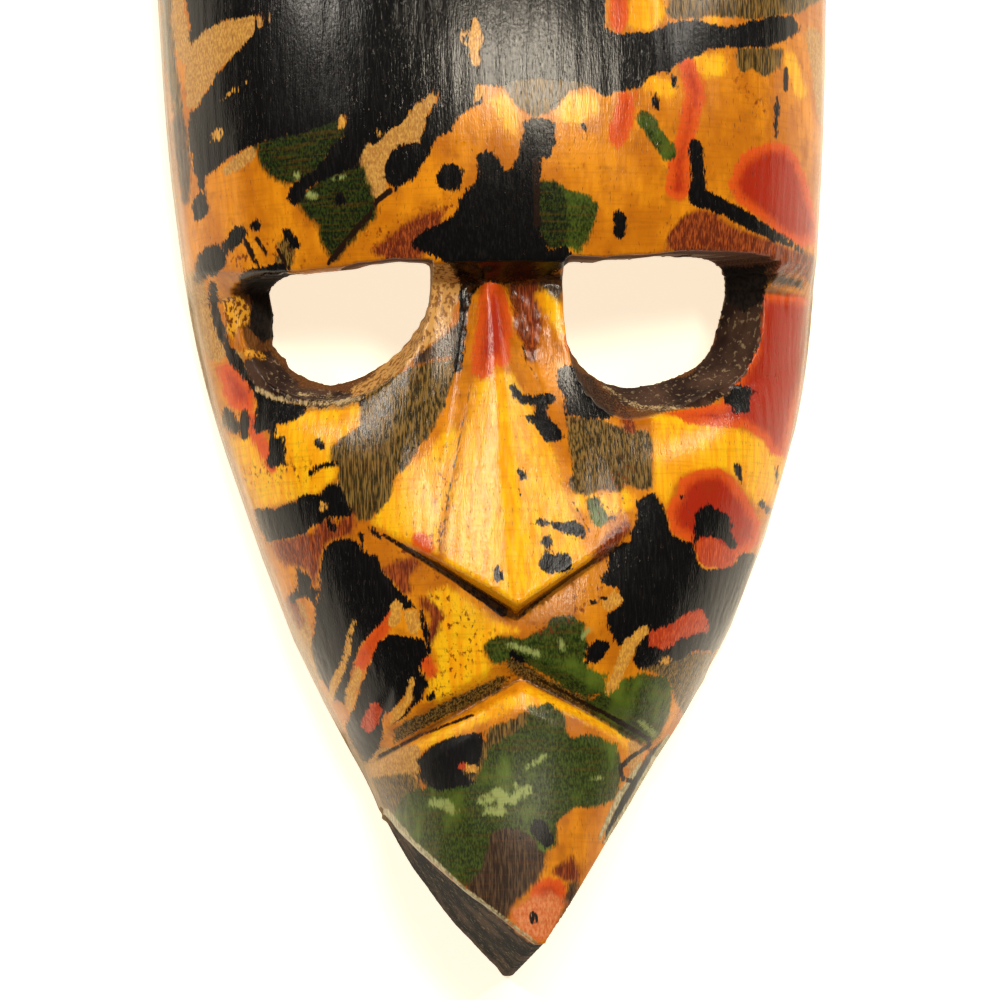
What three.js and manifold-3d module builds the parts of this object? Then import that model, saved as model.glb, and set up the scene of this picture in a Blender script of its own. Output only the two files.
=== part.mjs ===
import * as THREE from "three";
import { mergeVertices } from "three/addons/utils/BufferGeometryUtils.js";
import Module from "manifold-3d";

// A face mask carved from one half-round billet of wood and hollowed from behind.
// It lies face up on its flat back rim. Millimetres, +Z out of the face, +Y towards the crown,
// +X to the right of someone who looks at it. The origin is under the middle, on the rim's plane.

// Overall sizes
const LENGTH = 306; // chin point to crown
const WIDTH = 153; // across the temples
const FACE_DEPTH = 61.5; // rim plane to the nose tip
const FOREHEAD_DEPTH = 57; // rim plane to the top of the forehead's bulge
const BROW_DEPTH = 53; // rim plane to the brow's edge, over the nose

// Walls
const RIM_WIDTH = 11; // flat land of the back rim
const RIM_EDGE = 6; // upright band round the rim, below the rounded front
const WALL = 13; // wood between the front and the hollow, at the middle
const CHIN_BLOCK = 27; // solid wood left at the chin point, along the mask
const CROWN_BLOCK = 12; // solid wood left at the crown

// Eye openings, cut by hand and so not alike
const EYE_SHIFT = -1.4; // the eyes' middle sits this far left of the mask's
const LEFT_SPREAD = 38; // that middle to the lowest point of the left opening
const LEFT_INNER = 22.5; // from there to the corner beside the nose
const LEFT_OUTER = 12.3; // from there to the outer corner, at the hollow
const LEFT_DROP = 15.5; // how far the opening reaches below its corners, at the hollow
const LEFT_CREST = 20.5; // the eyes' middle to the highest point of the upper edge
const LEFT_FALL = 6; // fall of the upper edge from there to its outer end, at the hollow
const LEFT_BROW_FALL = 5; // the same at the front
const RIGHT_SPREAD = 32; // the same seven for the right opening
const RIGHT_INNER = 19;
const RIGHT_OUTER = 14.6;
const RIGHT_DROP = 12.4;
const RIGHT_CREST = 26;
const RIGHT_FALL = 8;
const RIGHT_BROW_FALL = 1.5;
const EYE_CORNER = -3; // level of the corners
const EYE_BACK = 18; // height of the openings' outer part where it meets the hollow
const EYE_RISE = -0.6; // level of the upper edge over the brow's
const EYE_CREST = 15.5; // length of the upper edge's inner part, nose side to its highest point
const BROW_UNDERCUT = 0.15; // how the upper wall leans up towards the back

// Brow step
const BROW_FOOT = -2.2; // level where the step meets the face
const BROW_EDGE = 1.2; // level of its edge over the nose and eyes
const TEMPLE_LIFT = 6.5; // how much higher the edge runs at the temples

// Nose
const NOSE_ROOT = [-4.2, -2]; // x and y of the ridge under the brow
const NOSE_TIP = [-0.7, -74.2]; // x and y of the ridge's end
const NOSE_ROOT_DEPTH = 46; // height of the ridge at its root
const NOSTRIL_WIDTH = 18.5; // ridge to the facet's edge, at the tip
const BRIDGE_WIDTH = 3; // the same at the root
const SKIRT_WIDTH = 12; // from the facet's edge out to the cheek, at the tip
const SKIRT_STEP = 4.5; // height of the facet's edge over the cheek, at the tip
const BRIDGE_GROOVE = 2.5; // depth of the gouge cuts beside the root
const NOSE_BASE = -75.6; // level of the lowest point of the base's cut
const NOSE_BASE_SLOPE = 0.66; // how the cut climbs to both sides
const NOSE_BASE_RUN = 1.8; // width of the sloped face under the nose

// Mouth
const MOUTH_APEX = [0.6, -88.5]; // x and y of the crease's highest point
const MOUTH_SLOPE = 0.53; // how the crease falls to both sides
const MOUTH_DEPTH = 3.6; // depth of the crease
const LIP_ABOVE = 5.5; // width of the slope above the crease
const LIP_BELOW = 2.6; // width of the steep face under the crease
const LIP_BEVEL = 4.2; // width of the rounded lip under that
const LIP_DROP = 0.9; // how far the lip's bevel falls

// Cheeks
const CHEEK_ROLL = 4.5; // how far the cheek rolls down to the eye's lower edge
const CHEEK_REACH = 12; // width of that roll

// Chin cuts: two near-upright cuts that bring the chin to a point, each a straight line
// on the rim's plane and another one at CUT_LEVEL, as [x, y] where it starts and ends
const CUT_LEVEL = 50;
const POINT_BLUNT = 1.8; // how much of each cut is left off at the sharp point
const CHIN_BACK = [-0.9, -LENGTH / 2 - POINT_BLUNT * 0.81]; // the point on the rim's plane
const CHIN_FRONT = [3, -147.2]; // and at CUT_LEVEL
const LEFT_CUT = { rim: [[-28.6, -116], CHIN_BACK], front: [[-27, -115], CHIN_FRONT] };
const RIGHT_CUT = { rim: [[34.4, -101.5], CHIN_BACK], front: [[32.8, -101], CHIN_FRONT] };

// Shapes as shares: [level as a share of half the length, value as a share]
const OUTLINE = [
  [0.49, 1], [0.157, 0.96], [-0.144, 0.878], [-0.444, 0.687], [-0.595, 0.545],
  [-0.739, 0.393], [-0.863, 0.325], [-1.02, 0.25],
];
const WIDEST = 0.49;
const CROWN_ROUND = 2.3; // fullness of the crown's outline
const BOW = 0.024; // sideways bow of the billet, as a share of half the width
const BOW_LEVEL = -0.3;
const BOW_SPAN = 0.3;
const FACE_CROWN = [
  [0.1, 0.72], [-0.02, 0.72], [-0.18, 0.745], [-0.34, 0.79], [-0.5, 0.83],
  [-0.6, 0.812], [-0.7, 0.81], [-0.82, 0.845], [-1, 0.835],
];
const HOLLOW_SHARE = [
  [0.8, 0.9], [0.3, 1], [0.05, 0.96], [-0.15, 0.98], [-0.45, 1], [-0.75, 0.95],
];
const BULGE_LEVEL = 0.235; // level of the forehead's greatest bulge
const FACE_FULLNESS = 2.45;
const BROW_FULLNESS = 2.5;

// Mesh steps
const SIDE_STEPS = 13;
const SKIRT_STEPS = 2;
const FACET_STEPS = 3;
const EYE_STEPS = 20;
const HOLLOW_ROWS = 26;
const HOLLOW_STEPS = 20;
const OVERRUN = 8; // how far cutting shapes run past the wood

const HALF_LENGTH = LENGTH / 2;
const HALF_WIDTH = WIDTH / 2;

const clamp = THREE.MathUtils.clamp;
const mix = THREE.MathUtils.lerp;

// A smooth curve through [place, value] pairs, constant beyond both ends.
function along(stations, place) {
  const pairs = [...stations].sort((a, b) => a[0] - b[0]);
  const last = pairs.length - 1;
  if (place <= pairs[0][0]) return pairs[0][1];
  if (place >= pairs[last][0]) return pairs[last][1];
  const i = pairs.findIndex((pair) => pair[0] > place) - 1;
  const slope = (k) => {
    const a = pairs[Math.max(k - 1, 0)];
    const b = pairs[Math.min(k + 1, last)];
    return (b[1] - a[1]) / (b[0] - a[0]);
  };
  const [x0, y0] = pairs[i];
  const [x1, y1] = pairs[i + 1];
  const h = x1 - x0;
  const t = (place - x0) / h;
  return (
    y0 * (1 + 2 * t) * (1 - t) ** 2 +
    slope(i) * h * t * (1 - t) ** 2 +
    y1 * t ** 2 * (3 - 2 * t) -
    slope(i + 1) * h * t ** 2 * (1 - t)
  );
}

// Half the billet's width at a level, before the chin cuts.
function halfWidth(y) {
  const level = y / HALF_LENGTH;
  if (level <= WIDEST) return HALF_WIDTH * along(OUTLINE, level);
  const t = clamp((level - WIDEST) / (1 - WIDEST), 0, 1);
  return HALF_WIDTH * Math.sqrt(1 - t ** CROWN_ROUND);
}

// Sideways place of the billet's middle at a level.
function middle(y) {
  return HALF_WIDTH * BOW * Math.exp(-(((y / HALF_LENGTH - BOW_LEVEL) / BOW_SPAN) ** 2));
}

// Rounded cross-section: 1 at the middle, 0 at the edge.
function rise(share, fullness) {
  return Math.sqrt(Math.max(0, 1 - Math.abs(share) ** fullness));
}

// Place across the billet, from -1 to 1.
function across(x, y) {
  return (x - middle(y)) / Math.max(halfWidth(y), 1e-6);
}

function faceBillet(x, y) {
  const crown = FACE_DEPTH * along(FACE_CROWN, y / HALF_LENGTH);
  return RIM_EDGE + (crown - RIM_EDGE) * rise(across(x, y), FACE_FULLNESS);
}

function forehead(x, y) {
  const bulge = BULGE_LEVEL * HALF_LENGTH;
  let crown = FOREHEAD_DEPTH;
  if (y > bulge) {
    const t = clamp((y - bulge) / (HALF_LENGTH - bulge), 0, 1);
    crown = RIM_EDGE + (FOREHEAD_DEPTH - RIM_EDGE) * Math.sqrt(1 - t ** CROWN_ROUND);
  } else {
    const t = (bulge - y) / (bulge - BROW_EDGE);
    crown -= (FOREHEAD_DEPTH - BROW_DEPTH) * t ** 2;
  }
  return RIM_EDGE + (crown - RIM_EDGE) * rise(across(x, y), BROW_FULLNESS);
}

// Place along the nose, 0 at the root and 1 at the tip, then the ridge's x and the widths there.
function noseFrame(y) {
  const t = clamp((NOSE_ROOT[1] - y) / (NOSE_ROOT[1] - NOSE_TIP[1]), 0, 1);
  const facet = mix(BRIDGE_WIDTH, NOSTRIL_WIDTH, t);
  return {
    t,
    ridge: mix(NOSE_ROOT[0], NOSE_TIP[0], t),
    facet,
    skirt: facet + mix(SKIRT_WIDTH / 2, SKIRT_WIDTH, t),
  };
}

// How far the nose stands over the face: a ridged wedge with a skirt down to the cheek.
function noseHeight(x, y) {
  const { t, ridge, facet, skirt } = noseFrame(y);
  const off = Math.abs(x - ridge);
  const top = mix(NOSE_ROOT_DEPTH, FACE_DEPTH, t) - faceBillet(ridge, y);
  const edge = mix(-BRIDGE_GROOVE, SKIRT_STEP, t);
  if (off <= facet) return mix(top, edge, off / facet);
  return mix(edge, 0, clamp((off - facet) / (skirt - facet), 0, 1));
}

function noseBaseLine(x) {
  return NOSE_BASE + NOSE_BASE_SLOPE * Math.abs(x - NOSE_TIP[0]);
}

function mouthLine(x) {
  return MOUTH_APEX[1] - MOUTH_SLOPE * Math.abs(x - MOUTH_APEX[0]);
}

// Depth of the mouth's crease and of the lip's bevel below it.
function mouthCut(x, y) {
  const above = y - mouthLine(x);
  if (above >= 0) return MOUTH_DEPTH * clamp(1 - above / LIP_ABOVE, 0, 1);
  if (-above <= LIP_BELOW) return mix(MOUTH_DEPTH, LIP_DROP, -above / LIP_BELOW);
  return LIP_DROP * clamp(1 - (-above - LIP_BELOW) / LIP_BEVEL, 0, 1);
}

function browEdge(x) {
  const start = HALF_WIDTH * 0.6;
  return BROW_EDGE + TEMPLE_LIFT * clamp((Math.abs(x) - start) / (HALF_WIDTH - start), 0, 1) ** 2;
}

// The two eye openings. splay and lidSplay are how the outer and the lower wall open towards
// the front, full how square the lower curve's inner part is at the hollow, and curve how late
// the upper edge falls.
const LEFT_EYE = {
  side: -1,
  spread: LEFT_SPREAD,
  inner: LEFT_INNER,
  outer: LEFT_OUTER,
  drop: LEFT_DROP,
  crest: LEFT_CREST,
  fall: LEFT_FALL,
  browFall: LEFT_BROW_FALL,
  splay: 1.45,
  lidSplay: 0.54,
  full: 1.2,
  curve: 2,
};
const RIGHT_EYE = {
  side: 1,
  spread: RIGHT_SPREAD,
  inner: RIGHT_INNER,
  outer: RIGHT_OUTER,
  drop: RIGHT_DROP,
  crest: RIGHT_CREST,
  fall: RIGHT_FALL,
  browFall: RIGHT_BROW_FALL,
  splay: 1.75,
  lidSplay: 0.74,
  full: 1.8,
  curve: 3.4,
};

// Sizes of an eye opening at a height: it widens towards the front.
function eyeSizes(eye, z) {
  const up = Math.max(0, z - EYE_BACK);
  return {
    outer: eye.outer + eye.splay * up,
    drop: eye.drop + eye.lidSplay * up,
    fullOuter: 2.6,
    fullInner: eye.full + 0.0175 * up,
  };
}

// How far outside an eye opening's lower curve a point lies, as a share: 1 is on the curve.
function eyeReach(x, y, z) {
  const eye = x > EYE_SHIFT ? RIGHT_EYE : LEFT_EYE;
  const size = eyeSizes(eye, z);
  const off = Math.abs(x - EYE_SHIFT) - eye.spread;
  const wide = off > 0 ? size.outer : eye.inner;
  const full = off > 0 ? size.fullOuter : size.fullInner;
  const down = Math.max(0, EYE_CORNER - y) / size.drop;
  return ((Math.abs(off) / wide) ** full + down ** full) ** (1 / full);
}

// The cheek's roll down to the eye's lower edge.
function cheekRoll(x, y) {
  const lip = 32; // height of that edge
  const out = (eyeReach(x, y, lip) - 1) * LEFT_DROP;
  const beside = clamp((Math.abs(x - EYE_SHIFT) - LEFT_INNER * 0.6) / LEFT_INNER, 0, 1);
  return CHEEK_ROLL * beside * clamp(1 - Math.max(0, out) / CHEEK_REACH, 0, 1) ** 2;
}

// Height of the carved front over the rim's plane.
function front(x, y) {
  const base = noseBaseLine(x);
  const onNose = clamp((y - base) / NOSE_BASE_RUN, 0, 1);
  const face = faceBillet(x, y) + noseHeight(x, y) * onNose - mouthCut(x, y) - cheekRoll(x, y);
  const edge = browEdge(x);
  const onBrow = clamp((y - BROW_FOOT) / (edge - BROW_FOOT), 0, 1);
  return Math.max(RIM_EDGE, mix(face, forehead(x, y), onBrow));
}

// Inner surface of the hollow, and half its width.
function hollowWidth(y) {
  const low = -HALF_LENGTH + CHIN_BLOCK;
  const high = HALF_LENGTH - CROWN_BLOCK;
  const taper = HALF_WIDTH * 0.4;
  const closing = Math.max(0, (low + taper - y) / taper, (y - high + taper) / taper);
  return (halfWidth(y) - RIM_WIDTH) * Math.sqrt(Math.max(0, 1 - closing ** 2));
}

function hollowCrown(y) {
  const outside = y > BROW_EDGE ? forehead(middle(y), y) : faceBillet(middle(y), y);
  const share = along(HOLLOW_SHARE, y / HALF_LENGTH);
  const closing = hollowWidth(y) / Math.max(halfWidth(y) - RIM_WIDTH, 1e-6);
  return Math.max(0, outside - WALL) * share * Math.sqrt(closing);
}

const wasm = await Module();
wasm.setup();

// Closed solid from a list of triangles, each three [x, y, z] points.
function solidFrom(triangles) {
  const raw = new THREE.BufferGeometry();
  raw.setAttribute("position", new THREE.Float32BufferAttribute(triangles.flat(2), 3));
  const merged = mergeVertices(raw, 1e-4);
  const index = merged.index.array;
  const kept = [];
  for (let i = 0; i < index.length; i += 3) {
    const [a, b, c] = [index[i], index[i + 1], index[i + 2]];
    if (a !== b && b !== c && c !== a) kept.push(a, b, c);
  }
  const mesh = new wasm.Mesh({
    numProp: 3,
    vertProperties: merged.attributes.position.array,
    triVerts: new Uint32Array(kept),
  });
  return new wasm.Manifold(mesh);
}

// Two triangles for a quad whose corners run anticlockwise seen from outside.
function quad(a, b, c, d) {
  return [[a, b, c], [a, c, d]];
}

// Skin between rings of equal length, closed with a flat fan at both ends.
// The rings run anticlockwise seen from the end that they are stacked towards.
function stacked(rings) {
  const triangles = [];
  const count = rings[0].length;
  for (let r = 0; r + 1 < rings.length; r++) {
    for (let i = 0; i < count; i++) {
      const j = (i + 1) % count;
      triangles.push(...quad(rings[r][i], rings[r][j], rings[r + 1][j], rings[r + 1][i]));
    }
  }
  const fan = (ring, turned) => {
    const hub = ring.reduce((sum, p) => sum.map((v, k) => v + p[k] / ring.length), [0, 0, 0]);
    ring.forEach((p, i) => {
      const q = ring[(i + 1) % ring.length];
      triangles.push(turned ? [hub, q, p] : [hub, p, q]);
    });
  };
  fan(rings[0], true);
  fan(rings[rings.length - 1], false);
  return solidFrom(triangles);
}

// Lines across the billet that the carving's edges follow, from the chin to the crown,
// each with the number of steps from the line before it.
const CHIN_END = (x) => -HALF_LENGTH - OVERRUN;
const ROW_LINES = [
  [CHIN_END, 0],
  [(x) => mouthLine(x) - LIP_BELOW - LIP_BEVEL, 11],
  [(x) => mouthLine(x) - LIP_BELOW, 1],
  [mouthLine, 1],
  [(x) => mouthLine(x) + LIP_ABOVE, 1],
  [noseBaseLine, 4],
  [(x) => noseBaseLine(x) + NOSE_BASE_RUN, 1],
  [(x) => BROW_FOOT, 18],
  [browEdge, 1],
  [(x) => WIDEST * HALF_LENGTH, 10],
];
const CROWN_ROWS = 12;

function rowCurves() {
  const rows = [ROW_LINES[0][0]];
  for (let k = 1; k < ROW_LINES.length; k++) {
    const [line, steps] = ROW_LINES[k];
    const before = ROW_LINES[k - 1][0];
    for (let i = 1; i <= steps; i++) rows.push((x) => mix(before(x), line(x), i / steps));
  }
  const start = WIDEST * HALF_LENGTH;
  for (let i = 1; i <= CROWN_ROWS; i++) {
    const turn = (i / CROWN_ROWS) * (Math.PI / 2);
    rows.push(() => start + (HALF_LENGTH - start) * Math.sin(turn));
  }
  return rows;
}

// Places across the billet at a level, from left to right, with the nose's edges among them.
function columnPlaces(y) {
  const w = halfWidth(y);
  const m = middle(y);
  const { ridge, facet, skirt } = noseFrame(y);
  const fit = (v) => m + clamp((v - m) / Math.max(w, 1e-6), -0.9, 0.9) * w;
  const marks = [
    [m - w, 0], [fit(ridge - skirt), SIDE_STEPS], [fit(ridge - facet), SKIRT_STEPS],
    [fit(ridge), FACET_STEPS], [fit(ridge + facet), FACET_STEPS],
    [fit(ridge + skirt), SKIRT_STEPS], [m + w, SIDE_STEPS],
  ];
  const places = [m - w];
  for (let k = 1; k < marks.length; k++) {
    for (let i = 1; i <= marks[k][1]; i++) {
      let t = i / marks[k][1];
      // The steps close up towards the steep edge of the rim.
      if (k === 1) t = 1 - Math.cos((t * Math.PI) / 2);
      if (k === marks.length - 1) t = Math.sin((t * Math.PI) / 2);
      places.push(mix(marks[k - 1][0], marks[k][0], t));
    }
  }
  return places;
}

// The billet with the carved front, still solid behind.
function carvedBillet() {
  const rows = rowCurves();
  const columns = columnPlaces(0).length;
  const grid = rows.map((row) =>
    Array.from({ length: columns }, (_, i) => {
      let x = columnPlaces(row(0))[i];
      let y = row(x);
      for (let pass = 0; pass < 14; pass++) {
        x = columnPlaces(y)[i];
        y = row(x);
      }
      const edge = i === 0 || i === columns - 1;
      return [x, y, edge ? RIM_EDGE : front(x, y)];
    }),
  );
  const rings = grid.map((line) => {
    const left = line[0];
    const right = line[columns - 1];
    return [[left[0], left[1], 0], ...line, [right[0], right[1], 0]];
  });
  return stacked(rings);
}

// Plan of the chin cuts at a height: everything inside it is kept.
function chinPlan(z) {
  const share = z / CUT_LEVEL;
  const point = (cut, end) => [0, 1].map((k) => mix(cut.rim[end][k], cut.front[end][k], share));
  const far = HALF_LENGTH * 3;
  const line = (cut) => {
    const start = point(cut, 0);
    const end = point(cut, 1);
    const reach = Math.hypot(end[0] - start[0], end[1] - start[1]);
    return { start, end, way: [0, 1].map((k) => (end[k] - start[k]) / reach), reach };
  };
  const left = line(LEFT_CUT);
  const right = line(RIGHT_CUT);
  const steps = 8;
  const walk = (side, along) => [0, 1].map((k) => side.start[k] + side.way[k] * along);
  const plan = [];
  for (let i = 0; i <= steps; i++) {
    const along = mix(-far, left.reach - POINT_BLUNT, i === 0 ? 0 : 1 - (1 - i / steps) * 0.25);
    plan.push(walk(left, along));
  }
  for (let i = steps; i >= 0; i--) {
    const along = mix(-far, right.reach - POINT_BLUNT, i === 0 ? 0 : 1 - (1 - i / steps) * 0.25);
    plan.push(walk(right, along));
  }
  return plan.map(([x, y]) => [x, y, z]);
}

function chinPrism() {
  const top = FACE_DEPTH + OVERRUN;
  const levels = [-OVERRUN, top / 3, (2 * top) / 3, top];
  return stacked(levels.map(chinPlan));
}

// The hollow, cut from behind.
function hollow() {
  const low = -HALF_LENGTH + CHIN_BLOCK;
  const high = HALF_LENGTH - CROWN_BLOCK;
  const rings = [];
  for (let r = 0; r <= HOLLOW_ROWS; r++) {
    const turn = (r / HOLLOW_ROWS) * Math.PI;
    const y = mix(low, high, (1 - Math.cos(turn)) / 2);
    const w = Math.max(hollowWidth(y), 0.5);
    const crown = Math.max(hollowCrown(y), 0.5);
    const ring = [[middle(y) - w, y, -OVERRUN]];
    for (let i = 0; i <= HOLLOW_STEPS; i++) {
      const share = -Math.cos((i / HOLLOW_STEPS) * Math.PI);
      ring.push([middle(y) + w * share, y, crown * rise(share, FACE_FULLNESS)]);
    }
    ring.push([middle(y) + w, y, -OVERRUN]);
    rings.push(ring);
  }
  return stacked(rings);
}

// Upper edge of an eye opening: it falls to its ends, and more so at the hollow.
function eyeTop(eye, x, z) {
  const outerPart = eye.spread + eye.outer - eye.crest;
  const part = x > eye.crest ? outerPart : EYE_CREST;
  const off = clamp(Math.abs(x - eye.crest) / part, 0, 1) ** eye.curve;
  const forward = Math.max(0, z - EYE_BACK) / (BROW_DEPTH - EYE_BACK);
  const lean = BROW_UNDERCUT * Math.max(0, BROW_DEPTH - z);
  return BROW_EDGE + EYE_RISE - mix(eye.fall, eye.browFall, forward) * off + lean;
}

// Outline of an eye opening at a height, with x from the eyes' middle outwards.
function eyeRing(eye, z) {
  const size = eyeSizes(eye, z);
  const inner = eye.spread - eye.inner;
  const outer = eye.spread + size.outer;
  const ring = [];
  for (let i = 0; i <= EYE_STEPS; i++) {
    const turn = (i / EYE_STEPS) * Math.PI;
    const side = -Math.cos(turn);
    const x = eye.spread + side * (side > 0 ? size.outer : eye.inner);
    const full = side > 0 ? size.fullOuter : size.fullInner;
    const down = size.drop * (1 - Math.abs(side) ** full) ** (1 / full);
    ring.push([x, EYE_CORNER - down, z]);
  }
  const topSteps = EYE_STEPS / 2;
  for (let i = 0; i <= topSteps; i++) {
    const x = mix(outer, inner, i / topSteps);
    ring.push([x, eyeTop(eye, x, z), z]);
  }
  return ring;
}

function eyeCutter(eye) {
  const levels = [-OVERRUN, EYE_BACK, FACE_DEPTH + OVERRUN];
  const rings = levels.map((z) => {
    const ring = eyeRing(eye, z).map(([x, y]) => [EYE_SHIFT + x * eye.side, y, z]);
    return eye.side > 0 ? ring : ring.reverse();
  });
  return stacked(rings);
}

function maskSolid() {
  return carvedBillet()
    .intersect(chinPrism())
    .subtract(hollow())
    .subtract(eyeCutter(LEFT_EYE))
    .subtract(eyeCutter(RIGHT_EYE));
}

function geometryOf(solid) {
  const mesh = solid.getMesh();
  const geometry = new THREE.BufferGeometry();
  geometry.setAttribute("position", new THREE.BufferAttribute(mesh.vertProperties, 3));
  geometry.setIndex(new THREE.BufferAttribute(mesh.triVerts, 1));
  const flat = geometry.toNonIndexed();
  flat.computeVertexNormals();
  return flat;
}

// Wood stained in yellow ochre, black, green and red, under a clear varnish.
const stainedWood = new THREE.MeshStandardMaterial({
  color: 0x9a6a1e,
  roughness: 0.35,
  metalness: 0,
});

const group = new THREE.Group();
const mask = new THREE.Mesh(geometryOf(maskSolid()), stainedWood);
mask.name = "mask";
group.add(mask);

export default group;
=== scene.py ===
import math

import bpy
import numpy as np
from mathutils import Matrix, Vector


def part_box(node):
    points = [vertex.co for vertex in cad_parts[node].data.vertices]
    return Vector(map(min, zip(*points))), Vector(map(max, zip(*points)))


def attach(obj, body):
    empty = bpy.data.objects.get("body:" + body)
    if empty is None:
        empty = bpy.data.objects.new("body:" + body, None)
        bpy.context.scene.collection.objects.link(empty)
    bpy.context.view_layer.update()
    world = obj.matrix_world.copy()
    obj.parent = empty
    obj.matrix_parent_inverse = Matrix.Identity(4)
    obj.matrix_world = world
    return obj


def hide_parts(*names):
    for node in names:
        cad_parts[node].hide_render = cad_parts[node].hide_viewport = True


# The carved face mask, stained in blots of colour and varnished. Places and sizes in the
# carving and the blots are in millimetres, and become metres where a mesh is made.
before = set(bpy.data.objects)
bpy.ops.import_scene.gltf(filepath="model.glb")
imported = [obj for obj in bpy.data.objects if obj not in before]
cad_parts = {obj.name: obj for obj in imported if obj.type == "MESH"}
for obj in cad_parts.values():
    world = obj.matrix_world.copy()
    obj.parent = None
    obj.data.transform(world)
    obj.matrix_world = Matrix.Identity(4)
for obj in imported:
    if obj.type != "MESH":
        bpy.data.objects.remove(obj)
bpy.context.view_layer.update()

MM = 0.001
LOW, HIGH = (np.array(corner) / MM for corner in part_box("mask"))
HALF_LENGTH = (HIGH[1] - LOW[1]) / 2
HALF_WIDTH = (HIGH[0] - LOW[0]) / 2

# The carving, as in the part's source
FACE_DEPTH = 61.5
FOREHEAD_DEPTH = 57
BROW_DEPTH = 53
RIM_EDGE = 6
EYE_SHIFT = -1.4
# Each opening's place beside the middle, its widths, its depth below the corners, how both
# grow towards the front, and how square its inner curve is
LEFT_EYE = {
    "spread": 38, "inner": 22.5, "outer": 12.3, "drop": 15.5, "splay": 1.45, "lid": 0.54, "full": 1.2,
}
RIGHT_EYE = {
    "spread": 32, "inner": 19, "outer": 14.6, "drop": 12.4, "splay": 1.75, "lid": 0.74, "full": 1.8,
}
EYE_CORNER = -3
EYE_BACK = 18
EYE_LIP = 32  # height of the openings' lower edge
OUTER_FULL = 2.6  # how square the openings' curves are, at the outer side
FULL_GROWTH = 0.0175  # and how much squarer the inner side gets for each mm up
BROW_FOOT = -2.2
BROW_EDGE = 1.2
TEMPLE_LIFT = 6.5
NOSE_ROOT = (-4.2, -2)
NOSE_TIP = (-0.7, -74.2)
NOSE_ROOT_DEPTH = 46
NOSTRIL_WIDTH = 18.5
BRIDGE_WIDTH = 3
SKIRT_WIDTH = 12
SKIRT_STEP = 4.5
BRIDGE_GROOVE = 2.5
NOSE_BASE = -75.6
NOSE_BASE_SLOPE = 0.66
NOSE_BASE_RUN = 1.8
MOUTH_APEX = (0.6, -88.5)
MOUTH_SLOPE = 0.53
MOUTH_DEPTH = 3.6
LIP_ABOVE = 5.5
LIP_BELOW = 2.6
LIP_BEVEL = 4.2
LIP_DROP = 0.9
CHEEK_ROLL = 4.5
CHEEK_REACH = 12
OUTLINE = (
    (0.49, 1), (0.157, 0.96), (-0.144, 0.878), (-0.444, 0.687), (-0.595, 0.545),
    (-0.739, 0.393), (-0.863, 0.325), (-1.02, 0.25),
)
WIDEST = 0.49
CROWN_ROUND = 2.3
BOW, BOW_LEVEL, BOW_SPAN = 0.024, -0.3, 0.3
FACE_CROWN = (
    (0.1, 0.72), (-0.02, 0.72), (-0.18, 0.745), (-0.34, 0.79), (-0.5, 0.83),
    (-0.6, 0.812), (-0.7, 0.81), (-0.82, 0.845), (-1, 0.835),
)
BULGE_LEVEL = 0.235
RIM_WIDTH = 11
CHIN_BLOCK = 27
CROWN_BLOCK = 12
FACE_FULLNESS = 2.45
BROW_FULLNESS = 2.5

# What only the visual mesh has
VOXEL = 0.7  # mesh size on the front
RIDGE_ROUND = 1.6  # rounding of the nose's ridge
FLAT_GAP = 0.7  # the most that the solid's flats depart from the smooth form
RIPPLE = 0.16  # height of the tool ripple on the front
RIPPLE_LENGTH = 9
GRAIN = 0.05  # height of the fibres
GRAIN_SIZE = (0.9, 14, 0.9)
ROUGH_SIZE = (1.7, 4.5, 1.7)  # lumps of the rough places
GOUGE_WIDTH = 13  # scoops left by the gouge in the hollow
GOUGE_STRETCH = 2.4
GOUGE_DEPTH = 0.8
HOLLOW_SMOOTHING = 24  # rounds that melt the solid's flats in the hollow
RIM_LEVEL = 0.4  # points below this lie on the rim's flat
CHIP_SIZE = 1.7  # how far the left opening's splintered edge wanders
NOTCH_DEPTH = 2.2  # and how deep the notch in it is
CUT_BOW = 1.9  # how far the chin's left cut bows out
CALM_KEPT = 0.2  # share of the faces kept where the relief is coarse
FACE_KEPT = 0.46  # and on the face, where the ones that lie flat go first
CALM_FROM = 66  # level above which the forehead is plain
EYES_FROM, EYES_TO = -36, 6  # levels between which the openings' walls lie
CHIN_FROM = -98  # level below which the chin is cut
SIDE_FROM = 0.93  # share of the half width from which the wood counts as the side
SIDE_LEVELS = (-26, -6)  # how the side's bare wood fades in, by minus the height
RUBBED_LEVELS = (92, 104)  # how the varnish grows dull, by minus the level
UPPER_SIDE_LEVELS = (12, 26)  # where the side turns olive

# The camera, where the photographer stood
CAMERA_REACH = 1000
CAMERA_LEFT = 3.5  # degrees
CAMERA_BELOW = 5.5
CAMERA_ROLL = 1.2
CAMERA_AIM = np.array((-1.3, -47.0, 15.0))
PHOTO_SIZE = 1000
PHOTO_SCALE = 0.2232  # mm for a pixel at the aim
SENSOR = 36


# Form of the front

def along(stations, place):
    """A smooth curve through (place, value) pairs, constant beyond both ends."""
    at, value = np.array(sorted(stations), float).T
    last = len(at) - 1
    before = np.maximum(np.arange(last + 1) - 1, 0)
    after = np.minimum(np.arange(last + 1) + 1, last)
    slope = (value[after] - value[before]) / (at[after] - at[before])
    place = np.clip(place, at[0], at[-1])
    i = np.clip(np.searchsorted(at, place, side="right") - 1, 0, last - 1)
    h = at[i + 1] - at[i]
    t = (place - at[i]) / h
    return (
        value[i] * (1 + 2 * t) * (1 - t) ** 2
        + slope[i] * h * t * (1 - t) ** 2
        + value[i + 1] * t**2 * (3 - 2 * t)
        - slope[i + 1] * h * t**2 * (1 - t)
    )


def mix(a, b, t):
    return a + (b - a) * t


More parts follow.
